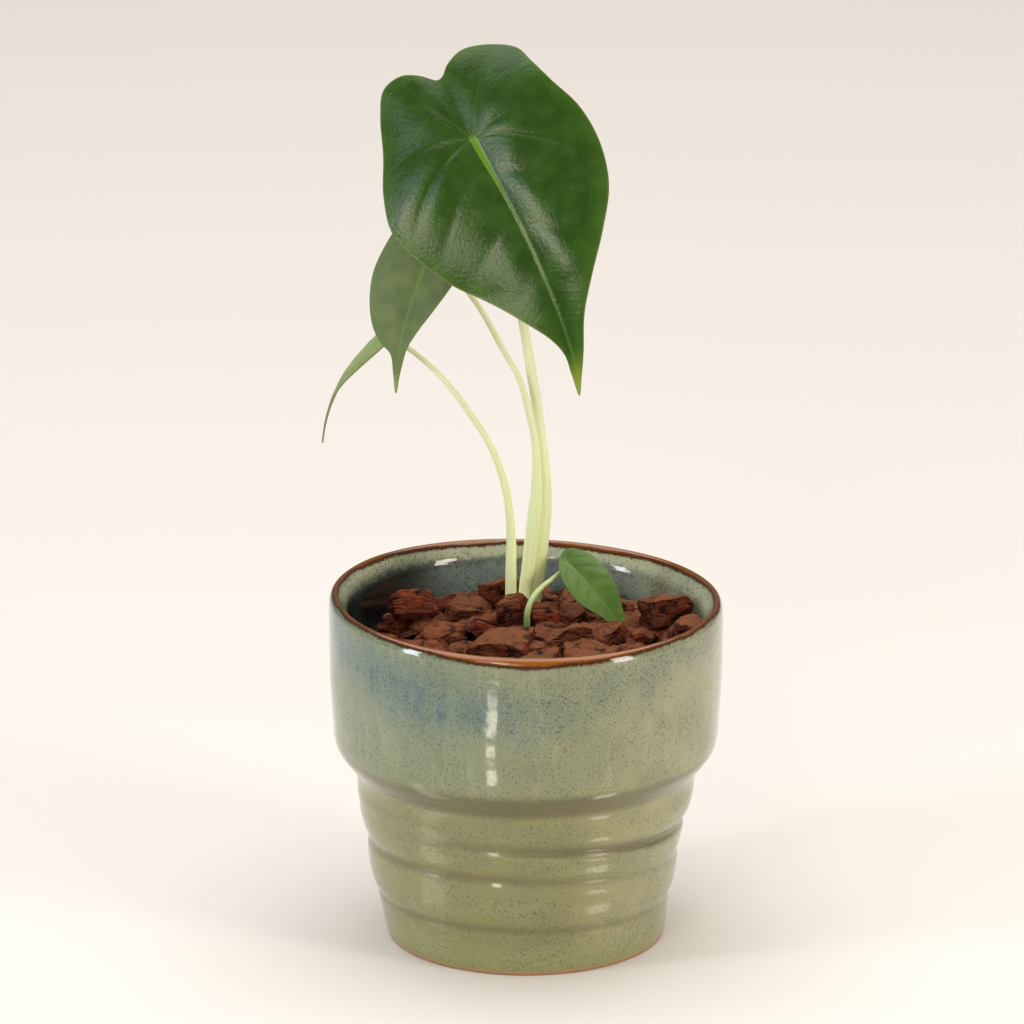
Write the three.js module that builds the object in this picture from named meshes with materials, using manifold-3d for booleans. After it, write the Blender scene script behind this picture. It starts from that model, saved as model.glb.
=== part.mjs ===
// Potted alocasia: a ribbed stoneware pot, potting mix, a layer of bark chips,
// and one small plant with four leaves. Millimetres, +Z up, origin at the middle of the pot's foot.
import * as THREE from "three";
import { ConvexGeometry } from "three/addons/geometries/ConvexGeometry.js";
import { mergeVertices } from "three/addons/utils/BufferGeometryUtils.js";
import Module from "manifold-3d";

const wasm = await Module();
wasm.setup();

// Driving dimensions

const POT_HEIGHT = 116.4; // foot to the mean height of the lip
const LIP_RADIUS = 65;
const WALL = 4.6;
const LIP_TILT = 1.3; // the lip is this much higher at -X and lower at +X
const LIP_BACK = 0.6; // and this much higher at the back and lower at the front
const LIP_WAVE = 0.5; // and it waves by this much, twice round
const LIP_WAVE_TURN = 150; // degrees
const SHOULDER_RADIUS = 56; // where the lower body starts, under the shoulder
const FOOT_RADIUS = 45.6;
const FOOT_WIDTH = 7;
const FOOT_RECESS = 2;
const FLOOR_TOP = 8;
const POT_SIDES = 44;
const BODY_LEAN = -0.9; // the thrown lower body bulges this far towards -X
const LEAN_TOP = 52; // height where the bulge ends

const CLEARANCE = 0.3; // left between pieces that touch
const FACET_ROOM = 0.15; // added where the faceted wall comes nearer than the round one
const MIX_TOP = 96;
const BARK_EDGE_TOP = 100.5; // bark layer at the wall, before its chips
const BARK_CROWN_TOP = 103.5; // bark layer round the stems
const BARK_RIGHT_RISE = 2.2; // the layer is heaped towards +X
const BARK_LEFT_FALL = 1.6; // and sunk towards -X
const BARK_BED = 2.5; // the bed that holds the chips lies this far under their tops
const CHIP_LENGTH = 16;
const CHIP_ROWS = [1, 7, 13, 19, 22]; // loose chips in each ring, from the middle out
const CHIP_ROW_STEP = 12.2;
const CHIP_REACH = 50; // no loose chip is centred further out
const CHIP_SEED = 20417;

const CROWN = new THREE.Vector3(-1.5, 14, MIX_TOP - CLEARANCE); // top of the corm
const CORM_RADIUS = 9.5;
const CORM_LENGTH = 34;
const ROOT_COUNT = 6;
const ROOT_REACHES = [4, 22, 26, 27.5]; // distance of a root's four stations from the corm's axis
const ROOT_DROPS = [0, 3, 14, 30]; // and their fall below its start
const ROOT_RADIUS = 1.5;

const BLADE_THICKNESS = 0.9;
const PETIOLE_SIDES = 10;
const ROOT_SIDES = 6;

// Colours of the pieces

const COLOURS = {
  glaze: 0x8c9a7c,
  mix: 0x3a2a20,
  bark: 0x6e3a24,
  corm: 0x8a6a48,
  oldLeaf: 0x1f4a1e,
  youngLeaf: 0x4f8a3a,
  petiole: 0xc3d48e,
};

// Helpers

const degrees = THREE.MathUtils.degToRad;

function smoothStep(low, high, x) {
  return THREE.MathUtils.smoothstep(x, low, high);
}

// A linear congruential generator: the same chips every time.
function randomSource(seed) {
  let state = seed;
  return () => {
    state = (state * 1664525 + 1013904223) % 2 ** 32;
    return state / 2 ** 32;
  };
}

// Position only, with shared vertices merged, so that a geometry is one closed surface.
function closedSurface(geometry) {
  const bare = geometry.clone();
  bare.deleteAttribute("normal");
  bare.deleteAttribute("uv");
  return mergeVertices(bare, 1e-4);
}

function toSolid(geometry) {
  const closed = closedSurface(geometry);
  const mesh = new wasm.Mesh({
    numProp: 3,
    vertProperties: new Float32Array(closed.attributes.position.array),
    triVerts: new Uint32Array(closed.index.array),
  });
  return new wasm.Manifold(mesh);
}

function toGeometry(solid) {
  const mesh = solid.getMesh();
  const geometry = new THREE.BufferGeometry();
  geometry.setAttribute("position", new THREE.BufferAttribute(mesh.vertProperties, 3));
  geometry.setIndex(new THREE.BufferAttribute(mesh.triVerts, 1));
  return geometry;
}

function largestBody(solid) {
  const bodies = solid.decompose();
  return bodies.reduce((best, body) => (body.volume() > best.volume() ? body : best));
}

function addMesh(group, name, geometry, colour, roughness) {
  const material = new THREE.MeshStandardMaterial({ color: colour, roughness, metalness: 0 });
  const shaded = closedSurface(geometry);
  shaded.computeVertexNormals();
  const mesh = new THREE.Mesh(shaded, material);
  mesh.name = name;
  group.add(mesh);
}

// Moves every vertex of a geometry by a function that changes a Vector3 in place.
function reshape(geometry, move) {
  const position = geometry.attributes.position;
  const point = new THREE.Vector3();
  for (let i = 0; i < position.count; i += 1) {
    point.fromBufferAttribute(position, i);
    move(point, i);
    position.setXYZ(i, point.x, point.y, point.z);
  }
  return geometry;
}

// A body of revolution about Z from [radius, height] pairs that start and end on the axis.
function turned(profile, sides) {
  const points = profile.map(([radius, height]) => new THREE.Vector2(radius, height));
  return new THREE.LatheGeometry(points, sides).rotateX(Math.PI / 2);
}

// A closed stem with an oval section along a smooth curve.
// Each station is [x, y, z, width, depth]: width across the front view, depth away from it.
function stem(stations, steps, extra = 0, sides = PETIOLE_SIDES) {
  const points = stations.map(([x, y, z]) => new THREE.Vector3(x, y, z));
  const sizes = stations.map(([, , , width, depth]) => new THREE.Vector3(width, depth, 0));
  const path = new THREE.CatmullRomCurve3(points, false, "centripetal");
  const section = new THREE.CatmullRomCurve3(sizes, false, "catmullrom", 0.2);
  const front = new THREE.Vector3(0, -1, 0);
  const geometry = new THREE.CylinderGeometry(1, 1, 1, sides, steps);
  return reshape(geometry, (point) => {
    const along = THREE.MathUtils.clamp(point.y + 0.5, 0, 1);
    const centre = path.getPoint(along);
    const size = section.getPoint(along);
    const ahead = path.getTangent(along);
    const side = new THREE.Vector3().crossVectors(ahead, front).normalize();
    const near = new THREE.Vector3().crossVectors(side, ahead).normalize();
    const halfWidth = size.x / 2 + extra;
    const halfDepth = size.y / 2 + extra;
    centre.addScaledVector(side, point.x * halfWidth);
    centre.addScaledVector(near, point.z * halfDepth);
    point.copy(centre);
  });
}

// Pot

// Outside of the wall as [radius, height], from the foot up to the lip.
const OUTER_WALL = [
  [FOOT_RADIUS, 0],
  [46.4, 1.6],
  [47.3, 7],
  [48.2, 12.5],
  [49.3, 16.5],
  [50.4, 20.5],
  [51.4, 26],
  [51.9, 30.5],
  [52.5, 34.5],
  [53.4, 38.5],
  [54.3, 42],
  [55.1, 45.5],
  [55.8, 50],
  [SHOULDER_RADIUS, 54.5],
  [56.7, 57.5],
  [58.5, 60.3],
  [60.9, 63.3],
  [62.8, 66.3],
  [63.7, 69.5],
  [64.1, 75],
  [64.8, 88],
  [LIP_RADIUS, 100],
  [LIP_RADIUS, POT_HEIGHT - 4],
  [LIP_RADIUS - 0.3, POT_HEIGHT - 1.8],
  [LIP_RADIUS - 1.2, POT_HEIGHT - 0.4],
  [LIP_RADIUS - 2.3, POT_HEIGHT],
];

// Inside of the wall as [radius, height], from the lip down to the floor.
const INNER_WALL = [
  [LIP_RADIUS - 3.5, POT_HEIGHT - 0.5],
  [LIP_RADIUS - WALL + 0.1, POT_HEIGHT - 2.2],
  [LIP_RADIUS - WALL, POT_HEIGHT - 6],
  [LIP_RADIUS - WALL, 97],
  [59.2, 71],
  [56.2, 63],
  [52, 56],
  [49.4, 42],
  [43.6, 15],
  [41.0, FLOOR_TOP + 1.2],
  [38.0, FLOOR_TOP],
];

// The three throwing grooves: height at the front, fall towards +X, depth, half width, and the
// share of the depth that is left at -X.
const GROOVES = [
  { height: 43.5, fall: 3, depth: 1.5, half: 2.6, leftShare: 0.1 },
  { height: 34.8, fall: 5, depth: 1.1, half: 2.4, leftShare: 1 },
  { height: 16.4, fall: 2, depth: 0.9, half: 2.0, leftShare: 1 },
];

function grooveDepth(azimuth, height) {
  const toRight = Math.sin(azimuth);
  let depth = 0;
  for (const groove of GROOVES) {
    const centre = groove.height - groove.fall * toRight * (1 + toRight) * 0.5;
    const share = THREE.MathUtils.lerp(groove.leftShare, 1, (1 + toRight) / 2);
    const away = (height - centre) / groove.half;
    depth += groove.depth * share * Math.exp(-away * away);
  }
  return depth;
}

function lipLift(azimuth) {
  const tilt = -LIP_TILT * Math.sin(azimuth) - LIP_BACK * Math.cos(azimuth);
  return tilt + LIP_WAVE * Math.cos(2 * azimuth - degrees(LIP_WAVE_TURN));
}

// Azimuth 0 faces -Y, the front, and grows towards +X.
function wobble(point, outside) {
  const radius = Math.hypot(point.x, point.y);
  if (radius < 1e-6) return;
  const azimuth = Math.atan2(point.x, -point.y);
  const groove = outside ? grooveDepth(azimuth, point.z) : 0;
  const scale = (radius - groove) / radius;
  const lean = BODY_LEAN * Math.sin(Math.PI * THREE.MathUtils.clamp(point.z / LEAN_TOP, 0, 1));
  const lift = lipLift(azimuth) * smoothStep(MIX_TOP + 2, POT_HEIGHT - 3, point.z);
  point.x = point.x * scale + lean;
  point.y *= scale;
  point.z += lift;
}

function makePot() {
  const foot = [
    [0, FOOT_RECESS],
    [FOOT_RADIUS - FOOT_WIDTH - 1, FOOT_RECESS],
    [FOOT_RADIUS - FOOT_WIDTH, 0],
  ];
  const profile = [...foot, ...OUTER_WALL, ...INNER_WALL, [0, FLOOR_TOP]];
  const rowLength = profile.length;
  const outerEnd = foot.length + OUTER_WALL.length;
  const pot = turned(profile, POT_SIDES);
  return reshape(pot, (point, i) => {
    const row = i % rowLength;
    wobble(point, row >= foot.length && row < outerEnd);
  });
}

// Potting mix and bark

function innerRadius(height) {
  const wall = INNER_WALL;
  for (let i = 1; i < wall.length; i += 1) {
    const [upperRadius, upper] = wall[i - 1];
    const [lowerRadius, lower] = wall[i];
    if (height <= upper && height >= lower) {
      const share = (height - lower) / (upper - lower);
      return THREE.MathUtils.lerp(lowerRadius, upperRadius, share);
    }
  }
  return wall[0][0];
}

function makeMix(corm) {
  const gap = CLEARANCE + FACET_ROOM;
  const side = INNER_WALL.slice(4)
    .reverse()
    .map(([radius, height]) => [radius - gap, height + gap * 0.6]);
  const profile = [[0, side[0][1]], ...side, [innerRadius(MIX_TOP) - gap, MIX_TOP], [0, MIX_TOP]];
  const mix = reshape(turned(profile, POT_SIDES), (point) => wobble(point, false));
  return toGeometry(toSolid(mix).subtract(corm));
}

// Height of the bark layer, before its chips: highest round the stems and towards +X.
function barkTop(x, y) {
  const away = Math.hypot(x - CROWN.x, y - CROWN.y);
  const crown = (BARK_CROWN_TOP - BARK_EDGE_TOP) * (1 - smoothStep(8, 50, away));
  const right = BARK_RIGHT_RISE * smoothStep(10, 48, x);
  const left = BARK_LEFT_FALL * smoothStep(15, 50, -x);
  return BARK_EDGE_TOP + crown + right - left;
}

// A bark chip: the hull of a box with eight shaken corners and a low ridge on top.
function chip(random, length, width, height) {
  const points = [];
  for (const end of [-1, 1]) {
    for (const side of [-1, 1]) {
      for (const face of [-1, 1]) {
        const taper = 0.72 + 0.28 * random();
        points.push(
          new THREE.Vector3(
            end * (length / 2) * (0.8 + 0.2 * random()),
            side * (width / 2) * taper,
            face * (height / 2) * (0.7 + 0.3 * random()),
          ),
        );
      }
    }
  }
  points.push(new THREE.Vector3((random() - 0.5) * length * 0.5, 0, height * 0.62));
  return new ConvexGeometry(points);
}

// Chips that the front view picks out, as [x, y, z, length, width, height, turn, tilt] with the
// turn about Z and the tilt about the chip's own length, both in degrees.
const FEATURE_CHIPS = [
  [-38, 20, 108, 19, 13, 9, 20, -35],
  [-19.5, 25, 105.5, 17, 10, 6, 8, 12],
  [-28, 2, 103.5, 19, 9, 6, 38, 10],
  [-8, -15, 104.5, 21, 16, 12, -8, 8],
  [12, -8, 105, 18, 14, 9, 25, -14],
  [24, -3, 105, 18, 11, 8, -35, 18],
  [21, -20, 103.5, 20, 10, 8, -20, 20],
  [-33, -16, 101.5, 20, 13, 9, 12, 15],
  [46, 11, 109.5, 17, 14, 11, 30, -12],
  [54, 0, 105.5, 14, 11, 10, 70, 10],
  [37, 3, 102.5, 18, 12, 8, 40, -10],
  [-4, 4, 106.5, 11, 8, 8, 10, 22],
  [4, 31, 106, 16, 10, 8, -15, 10],
  [-8, 33, 109, 15, 9, 9, 30, -8],
  [15, 14, 106, 14, 10, 8, 60, 10],
  [-44, -2, 100.5, 14, 9, 6, -30, 10],
];

function placeChip(geometry, x, y, z, turn, tilt, pitch) {
  const pose = new THREE.Matrix4().makeRotationFromEuler(new THREE.Euler(tilt, pitch, turn, "ZYX"));
  pose.setPosition(x, y, z);
  return toSolid(geometry.clone().applyMatrix4(pose));
}

function makeBark(holes) {
  const random = randomSource(CHIP_SEED);
  const edge = innerRadius(MIX_TOP) - CLEARANCE - FACET_ROOM;
  const underside = MIX_TOP + CLEARANCE;
  const rings = [edge, 34, 14, 0];
  const top = rings.map((radius) => [radius, BARK_EDGE_TOP]);
  const layer = reshape(turned([[0, underside], [edge, underside], ...top], POT_SIDES), (point) => {
    wobble(point, false);
    if (point.z > underside + 1) point.z = barkTop(point.x, point.y) - BARK_BED;
  });
  const solids = [toSolid(layer)];
  for (const [x, y, z, length, width, height, turn, tilt] of FEATURE_CHIPS) {
    const made = chip(random, length, width, height);
    solids.push(placeChip(made, x, y, z - 2, degrees(turn), degrees(tilt), 0));
  }
  CHIP_ROWS.forEach((count, row) => {
    const ring = row * CHIP_ROW_STEP;
    for (let i = 0; i < count; i += 1) {
      const angle = ((i + 0.6 * random()) / count) * 2 * Math.PI;
      const radius = Math.min(ring + (random() - 0.5) * 5, CHIP_REACH);
      const length = CHIP_LENGTH * (0.65 + 0.55 * random());
      const width = length * (0.5 + 0.25 * random());
      const height = length * (0.34 + 0.2 * random());
      const made = chip(random, length, width, height);
      const x = radius * Math.cos(angle);
      const y = radius * Math.sin(angle);
      const turn = random() * 2 * Math.PI;
      const tilt = (random() - 0.5) * 0.9;
      const pitch = (random() - 0.5) * 0.7;
      solids.push(placeChip(made, x, y, barkTop(x, y) - 1.5, turn, tilt, pitch));
    }
  });
  let bark = wasm.Manifold.union(solids);
  bark = bark.intersect(toSolid(barkRoom(edge, underside)));
  for (const hole of holes) bark = bark.subtract(hole);
  return toGeometry(largestBody(bark));
}

// The space the bark may fill: inside the wall, above the mix.
function barkRoom(edge, underside) {
  const section = [[0, underside], [edge, underside], [edge, POT_HEIGHT], [0, POT_HEIGHT]];
  return reshape(turned(section, POT_SIDES), (point) => wobble(point, false));
}

// Corm and roots

// The corm and its roots, swollen by extra on every side where it is used as a hole.
function makeCorm(extra) {
  const top = CROWN.z + extra;
  const bottom = CROWN.z - CORM_LENGTH - extra;
  const body = [
    [0, bottom],
    [CORM_RADIUS * 0.45 + extra, bottom + 2],
    [CORM_RADIUS * 0.8 + extra, bottom + 9],
    [CORM_RADIUS + extra, bottom + 20],
    [CORM_RADIUS + extra, top - 7],
    [CORM_RADIUS + extra, top - 1.5],
    [CORM_RADIUS - 1.2 + extra, top],
    [0, top],
  ];
  const knobs = reshape(turned(body, 14), (point) => {
    const turn = Math.atan2(point.y, point.x);
    const swell = 1 - 0.07 * Math.max(0, Math.sin(3 * turn + point.z * 0.3));
    point.x = point.x * swell + CROWN.x;
    point.y = point.y * swell + CROWN.y;
  });
  const solids = [toSolid(knobs)];
  for (let i = 0; i < ROOT_COUNT; i += 1) {
    const turn = (i / ROOT_COUNT) * 2 * Math.PI + 0.4;
    const out = new THREE.Vector3(Math.cos(turn), Math.sin(turn), 0);
    const start = CROWN.z - 12 - 12 * ((i * 0.618) % 1);
    const stations = ROOT_REACHES.map((away, k) => {
      const thick = 2 * ROOT_RADIUS * (1 - 0.2 * k) + 2 * extra;
      return [CROWN.x + out.x * away, CROWN.y + out.y * away, start - ROOT_DROPS[k], thick, thick];
    });
    solids.push(toSolid(stem(stations, 5, 0, ROOT_SIDES)));
  }
  return wasm.Manifold.union(solids);
}

// Leaves

// A leaf is drawn flat round its junction: s runs along the midrib to the tip, t across it.
// The flat outline is then bent, folded, waved and swayed into place.
class Leaf {
  constructor(shape) {
    Object.assign(this, shape);
    const heading = degrees(shape.heading);
    const dip = degrees(shape.dip);
    const roll = degrees(shape.roll);
    this.along = new THREE.Vector3(
      Math.cos(heading) * Math.cos(dip),
      Math.sin(heading) * Math.cos(dip),
      -Math.sin(dip),
    );
    const level = new THREE.Vector3(0, 0, 1).cross(this.along).normalize();
    const upright = new THREE.Vector3().crossVectors(this.along, level);
    this.face = upright.multiplyScalar(Math.cos(roll)).addScaledVector(level, Math.sin(roll));
    this.across = new THREE.Vector3().crossVectors(this.face, this.along);
  }

  // The point of the blade's middle surface at (s, t), raised by lift along its face.
  at(s, t, lift = 0) {
    const reach = this.length;
    const bend = s >= 0 ? degrees(this.bendTip) / reach : degrees(this.bendLobe) / reach;
    const angle = bend * s;
    const spine = Math.abs(angle) < 1e-9 ? s : (s * Math.sin(angle)) / angle;
    const back = Math.abs(angle) < 1e-9 ? 0 : (s * (1 - Math.cos(angle))) / angle;
    const normal = this.along
      .clone()
      .multiplyScalar(Math.sin(angle))
      .addScaledVector(this.face, Math.cos(angle));
    const fold = Math.tan(degrees(this.fold));
    const polar = Math.atan2(t, s);
    const edge = Math.min((s * s + t * t) / (this.half * this.half), 2);
    const height =
      fold * (Math.hypot(t, 1) - 1) -
      (this.droop * t * t) / (2 * this.half) +
      this.wave * edge * Math.sin(this.waves * polar + this.phase);
    const sway = s > 0 ? this.sway * (s / reach) ** 3 : 0;
    return this.junction
      .clone()
      .addScaledVector(this.along, spine)
      .addScaledVector(this.face, -back)
      .addScaledVector(this.across, t + sway)
      .addScaledVector(normal, height + lift);
  }
}

const LEAF_1 = new Leaf({
  junction: new THREE.Vector3(-17.1, 4, 270.2),
  heading: -42,
  dip: 50,
  roll: -43,
  length: 89.5,
  half: 36,
  bendTip: 18,
  bendLobe: 25,
  fold: 8,
  droop: 0.35,
  sway: -8.5,
  wave: 1.0,
  waves: 4,
  phase: 0.6,
  rings: 5,
  outline: [
    [91, -1.6],
    [79, 3.4],
    [66, 9.6],
    [53, 18.6],
    [39, 29.4],
    [22, 35.6],
    [4, 35.2],
    [-14, 29],
    [-25.4, 20.8],
    [-28.8, 10.4],
    [-23.5, 0],
    [-30.4, -9.4],
    [-28, -18.6],
    [-14, -26.8],
    [2, -34.6],
    [14.5, -38.2],
    [28, -34.4],
    [43, -25.2],
    [58, -13.6],
    [70, -5.6],
    [81, -2.4],
  ],
});

const LEAF_2 = new Leaf({
  junction: new THREE.Vector3(-31.5, 16, 229.4),
  heading: -141,
  dip: 62,
  roll: 22,
  length: 47.5,
  half: 17,
  bendTip: 15,
  bendLobe: 20,
  fold: 14,
  droop: 0.3,
  sway: 4,
  wave: 0.5,
  waves: 3,
  phase: 0.4,
  rings: 4,
  outline: [
    [47.5, 0.8],
    [37, 1.4],
    [29.5, 3.2],
    [18.5, 9],
    [6, 13.8],
    [-6, 13.6],
    [-13, 6.6],
    [-9.6, 0],
    [-14.8, -7.4],
    [-7, -14.4],
    [8, -16.8],
    [21, -15.8],
    [30.5, -10.4],
    [36, -2.8],
  ],
});

const LEAF_3 = new Leaf({
  junction: new THREE.Vector3(-46.1, 31, 197.1),
  heading: 180,
  dip: 36,
  roll: -2,
  length: 44.5,
  half: 14,
  bendTip: 50,
  bendLobe: 12,
  fold: 9,
  droop: 0.3,
  sway: 0,
  wave: 0.35,
  waves: 3,
  phase: 1.2,
  rings: 4,
  outline: [
    [43.8, 0],
    [36, 1.8],
    [26, 6.8],
    [13, 12.4],
    [-2, 12.8],
    [-11, 6],
    [-8, 0],
    [-11, -6],
    [-2, -12.8],
    [13, -12.4],
    [26, -6.8],
    [36, -1.8],
  ],
});

const LEAF_4 = new Leaf({
  junction: new THREE.Vector3(13.3, 13, 124),
  heading: -33,
  dip: 33,
  roll: -32,
  length: 31,
  half: 10,
  bendTip: 20,
  bendLobe: 15,
  fold: 14,
  droop: 0.35,
  sway: -2.5,
  wave: 0.2,
  waves: 3,
  phase: 0,
  rings: 4,
  outline: [
    [31, 0.5],
    [23, 4.4],
    [13.5, 7.7],
    [3, 7.7],
    [-3.2, 3.6],
    [-1.8, -1.6],
    [4.5, -6],
    [13, -7.1],
    [22, -3.8],
  ],
});

// The blade as a closed sheet: one fan of rings round the junction for each face, split alike.
function blade(leaf, extra = 0) {
  const points = leaf.outline.map(([s, t]) => new THREE.Vector3(s, t, 0));
  const outline = new THREE.CatmullRomCurve3(points, true, "centripetal");
  const around = points.length * 2;
  const half = BLADE_THICKNESS / 2 + extra;
  const vertices = [];
  for (const lift of [half, -half]) {
    vertices.push(leaf.at(0, 0, lift));
    for (let ring = 1; ring <= leaf.rings; ring += 1) {
      const share = ring / leaf.rings;
      for (let i = 0; i < around; i += 1) {
        const edge = outline.getPoint(i / around);
        vertices.push(leaf.at(edge.x * share, edge.y * share, lift));
      }
    }
  }
  const faceSize = 1 + around * leaf.rings;
  const index = [];
  const corner = (face, ring, i) => face * faceSize + 1 + (ring - 1) * around + (i % around);
  const triangle = (face, a, b, c) => (face === 0 ? index.push(a, b, c) : index.push(a, c, b));
  for (const face of [0, 1]) {
    for (let i = 0; i < around; i += 1) {
      triangle(face, face * faceSize, corner(face, 1, i), corner(face, 1, i + 1));
      for (let ring = 1; ring < leaf.rings; ring += 1) {
        const inner = corner(face, ring, i);
        const innerNext = corner(face, ring, i + 1);
        const outer = corner(face, ring + 1, i);
        const outerNext = corner(face, ring + 1, i + 1);
        triangle(face, inner, outer, outerNext);
        triangle(face, inner, outerNext, innerNext);
      }
    }
  }
  for (let i = 0; i < around; i += 1) {
    const top = corner(0, leaf.rings, i);
    const topNext = corner(0, leaf.rings, i + 1);
    const under = corner(1, leaf.rings, i);
    const underNext = corner(1, leaf.rings, i + 1);
    index.push(top, under, underNext, top, underNext, topNext);
  }
  const geometry = new THREE.BufferGeometry().setFromPoints(vertices);
  geometry.setIndex(index);
  return geometry;
}

// Petioles, each as [x, y, z, width, depth] from the corm up to just past the blade's underside.

const STEM_FOOT = MIX_TOP - 2; // drawn this deep, then trimmed level at the corm
const STEM_ROOM = CLEARANCE + 0.05; // round a stem in the bark
const LEAF_ROOM = CLEARANCE + 0.2; // round the fourth blade, whose tip lies among the chips

const PETIOLE_1 = [
  [0.3, 17.4, STEM_FOOT, 6.6, 4.8],
  [1.4, 18.2, 109, 7.1, 5.0],
  [2.6, 18.2, 118, 7.6, 5.0],
  [3.6, 18.4, 130, 8.0, 4.8],
  [4.7, 18.8, 141, 7.6, 4.4],
  [5.3, 19.0, 153, 5.6, 3.8],
  [4.6, 19.3, 165, 3.9, 3.4],
  [3.3, 19.6, 178, 3.5, 3.2],
  [1.0, 20.4, 192, 3.3, 3.1],
  [-1.2, 21.2, 206, 3.1, 3.0],
  [-4.0, 22, 222, 2.9, 2.8],
  [-8.5, 20.5, 242, 2.7, 2.6],
  [-13, 13.5, 260, 2.6, 2.5],
  [-16.4, 6.5, 268.5, 2.6, 2.5],
  [-17.6, 1.5, 272, 2.6, 2.5],
];

const PETIOLE_2 = [
  [-1.0, 14.4, STEM_FOOT, 3.2, 3.2],
  [-0.6, 15, 112, 3.9, 3.4],
  [0.7, 15, 121, 4.4, 3.5],
  [1.9, 15, 132, 4.5, 3.5],
  [3.2, 15, 143, 4.2, 3.4],
  [3.6, 15.3, 156, 3.0, 2.8],
  [2.9, 15.4, 166, 2.5, 2.4],
  [1.4, 15.8, 173, 2.4, 2.3],
  [-2.0, 18, 185, 2.0, 2.0],
  [-8.4, 21, 196.5, 1.9, 1.9],
  [-14.9, 23, 208, 1.8, 1.8],
  [-23.4, 24, 219.5, 1.7, 1.7],
  [-28.6, 21.4, 226.4, 1.7, 1.7],
  [-31.2, 17.6, 229.0, 1.7, 1.7],
  [-32.6, 13.2, 230.4, 1.7, 1.7],
];

const PETIOLE_3 = [
  [-5.2, 13.8, STEM_FOOT, 3.2, 3.2],
  [-5.0, 15, 110, 3.7, 3.5],
  [-5.0, 15.2, 121, 3.6, 3.3],
  [-4.9, 15.5, 130, 3.2, 3.0],
  [-5.4, 15.9, 139, 2.6, 2.5],
  [-6.7, 16.8, 148, 2.5, 2.4],
  [-11.1, 19, 161, 2.3, 2.2],
  [-18.5, 22.5, 172.5, 2.1, 2.0],
  [-28.3, 27, 184.2, 1.9, 1.9],
  [-38, 30.4, 192, 1.7, 1.7],
  [-44.6, 31.2, 195.8, 1.6, 1.6],
  [-48.6, 31, 200.4, 1.6, 1.6],
];

const PETIOLE_4 = [
  [1.0, 8.6, STEM_FOOT, 2.0, 2.0],
  [0.4, 4.6, 102, 1.9, 1.9],
  [0.0, 3.2, 106.5, 1.8, 1.8],
  [-0.1, 5.0, 110, 1.7, 1.7],
  [1.7, 7.6, 112.6, 1.6, 1.6],
  [4.8, 9.8, 115.5, 1.4, 1.4],
  [8.2, 11.6, 118.2, 1.3, 1.3],
  [11.0, 12.8, 121.0, 1.2, 1.2],
  [12.8, 13.0, 123.4, 1.2, 1.2],
  [14.2, 12.0, 126.2, 1.2, 1.2],
];

const LEAVES = [
  { leaf: LEAF_1, stations: PETIOLE_1, steps: 22, colour: COLOURS.oldLeaf },
  { leaf: LEAF_2, stations: PETIOLE_2, steps: 20, colour: COLOURS.oldLeaf },
  { leaf: LEAF_3, stations: PETIOLE_3, steps: 17, colour: COLOURS.oldLeaf },
  { leaf: LEAF_4, stations: PETIOLE_4, steps: 12, colour: COLOURS.youngLeaf },
];

// A petiole stops just under its blade. The broad foot of the first is hollowed round the second.
function makePetiole(number) {
  const { leaf, stations, steps } = LEAVES[number];
  const whole = toSolid(stem(stations, steps));
  const below = new THREE.BoxGeometry(80, 80, 20).translate(CROWN.x, CROWN.y, MIX_TOP - 10);
  let cut = whole.subtract(toSolid(below));
  cut = cut.subtract(toSolid(blade(leaf, CLEARANCE)));
  if (number === 0) {
    const second = LEAVES[1];
    cut = cut.subtract(toSolid(stem(second.stations, second.steps, CLEARANCE)));
  }
  return toGeometry(largestBody(cut));
}

// Assembly

function buildPlant() {
  const group = new THREE.Group();
  addMesh(group, "pot", makePot(), COLOURS.glaze, 0.2);
  const stemHoles = LEAVES.map(({ stations, steps }) => toSolid(stem(stations, steps, STEM_ROOM)));
  addMesh(group, "potting_mix", makeMix(makeCorm(CLEARANCE)), COLOURS.mix, 0.95);
  const tipHole = toSolid(blade(LEAF_4, LEAF_ROOM));
  addMesh(group, "bark_chips", makeBark([...stemHoles, tipHole]), COLOURS.bark, 0.9);
  addMesh(group, "corm", toGeometry(makeCorm(0)), COLOURS.corm, 0.8);
  LEAVES.forEach(({ leaf, colour }, i) => {
    addMesh(group, `leaf_${i + 1}_blade`, blade(leaf), colour, 0.45);
    addMesh(group, `leaf_${i + 1}_petiole`, makePetiole(i), COLOURS.petiole, 0.5);
  });
  return group;
}

export default buildPlant();
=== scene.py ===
"""Looks of a potted velvet-leaved aroid: a ribbed stoneware pot with a running glaze, bark chips,
and a small plant with four blades on pale petioles.

Metres, +Z up, the pot's foot on z = 0, the front towards -Y. Listed shapes are written in
millimetres and brought to metres by MM.
"""

import math
from functools import partial

import bmesh
import bpy
import numpy as np
from bpy.props import FloatProperty, FloatVectorProperty, IntProperty, PointerProperty
from mathutils import Euler, Matrix, Vector, noise


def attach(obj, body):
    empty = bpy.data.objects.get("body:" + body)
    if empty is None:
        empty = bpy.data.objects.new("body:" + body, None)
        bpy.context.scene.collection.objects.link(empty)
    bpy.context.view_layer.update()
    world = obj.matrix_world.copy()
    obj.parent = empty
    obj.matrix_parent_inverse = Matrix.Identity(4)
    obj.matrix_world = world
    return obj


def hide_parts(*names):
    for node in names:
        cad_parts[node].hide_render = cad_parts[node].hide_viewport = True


bl_info = {
    "name": "Potted velvet aroid",
    "version": (1, 0, 0),
    "blender": (4, 5, 0),
    "location": "View3D > Sidebar > Plant",
    "description": "Builds a glazed stoneware pot with bark chips and a velvet-leaved plant",
    "category": "Add Mesh",
}

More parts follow.
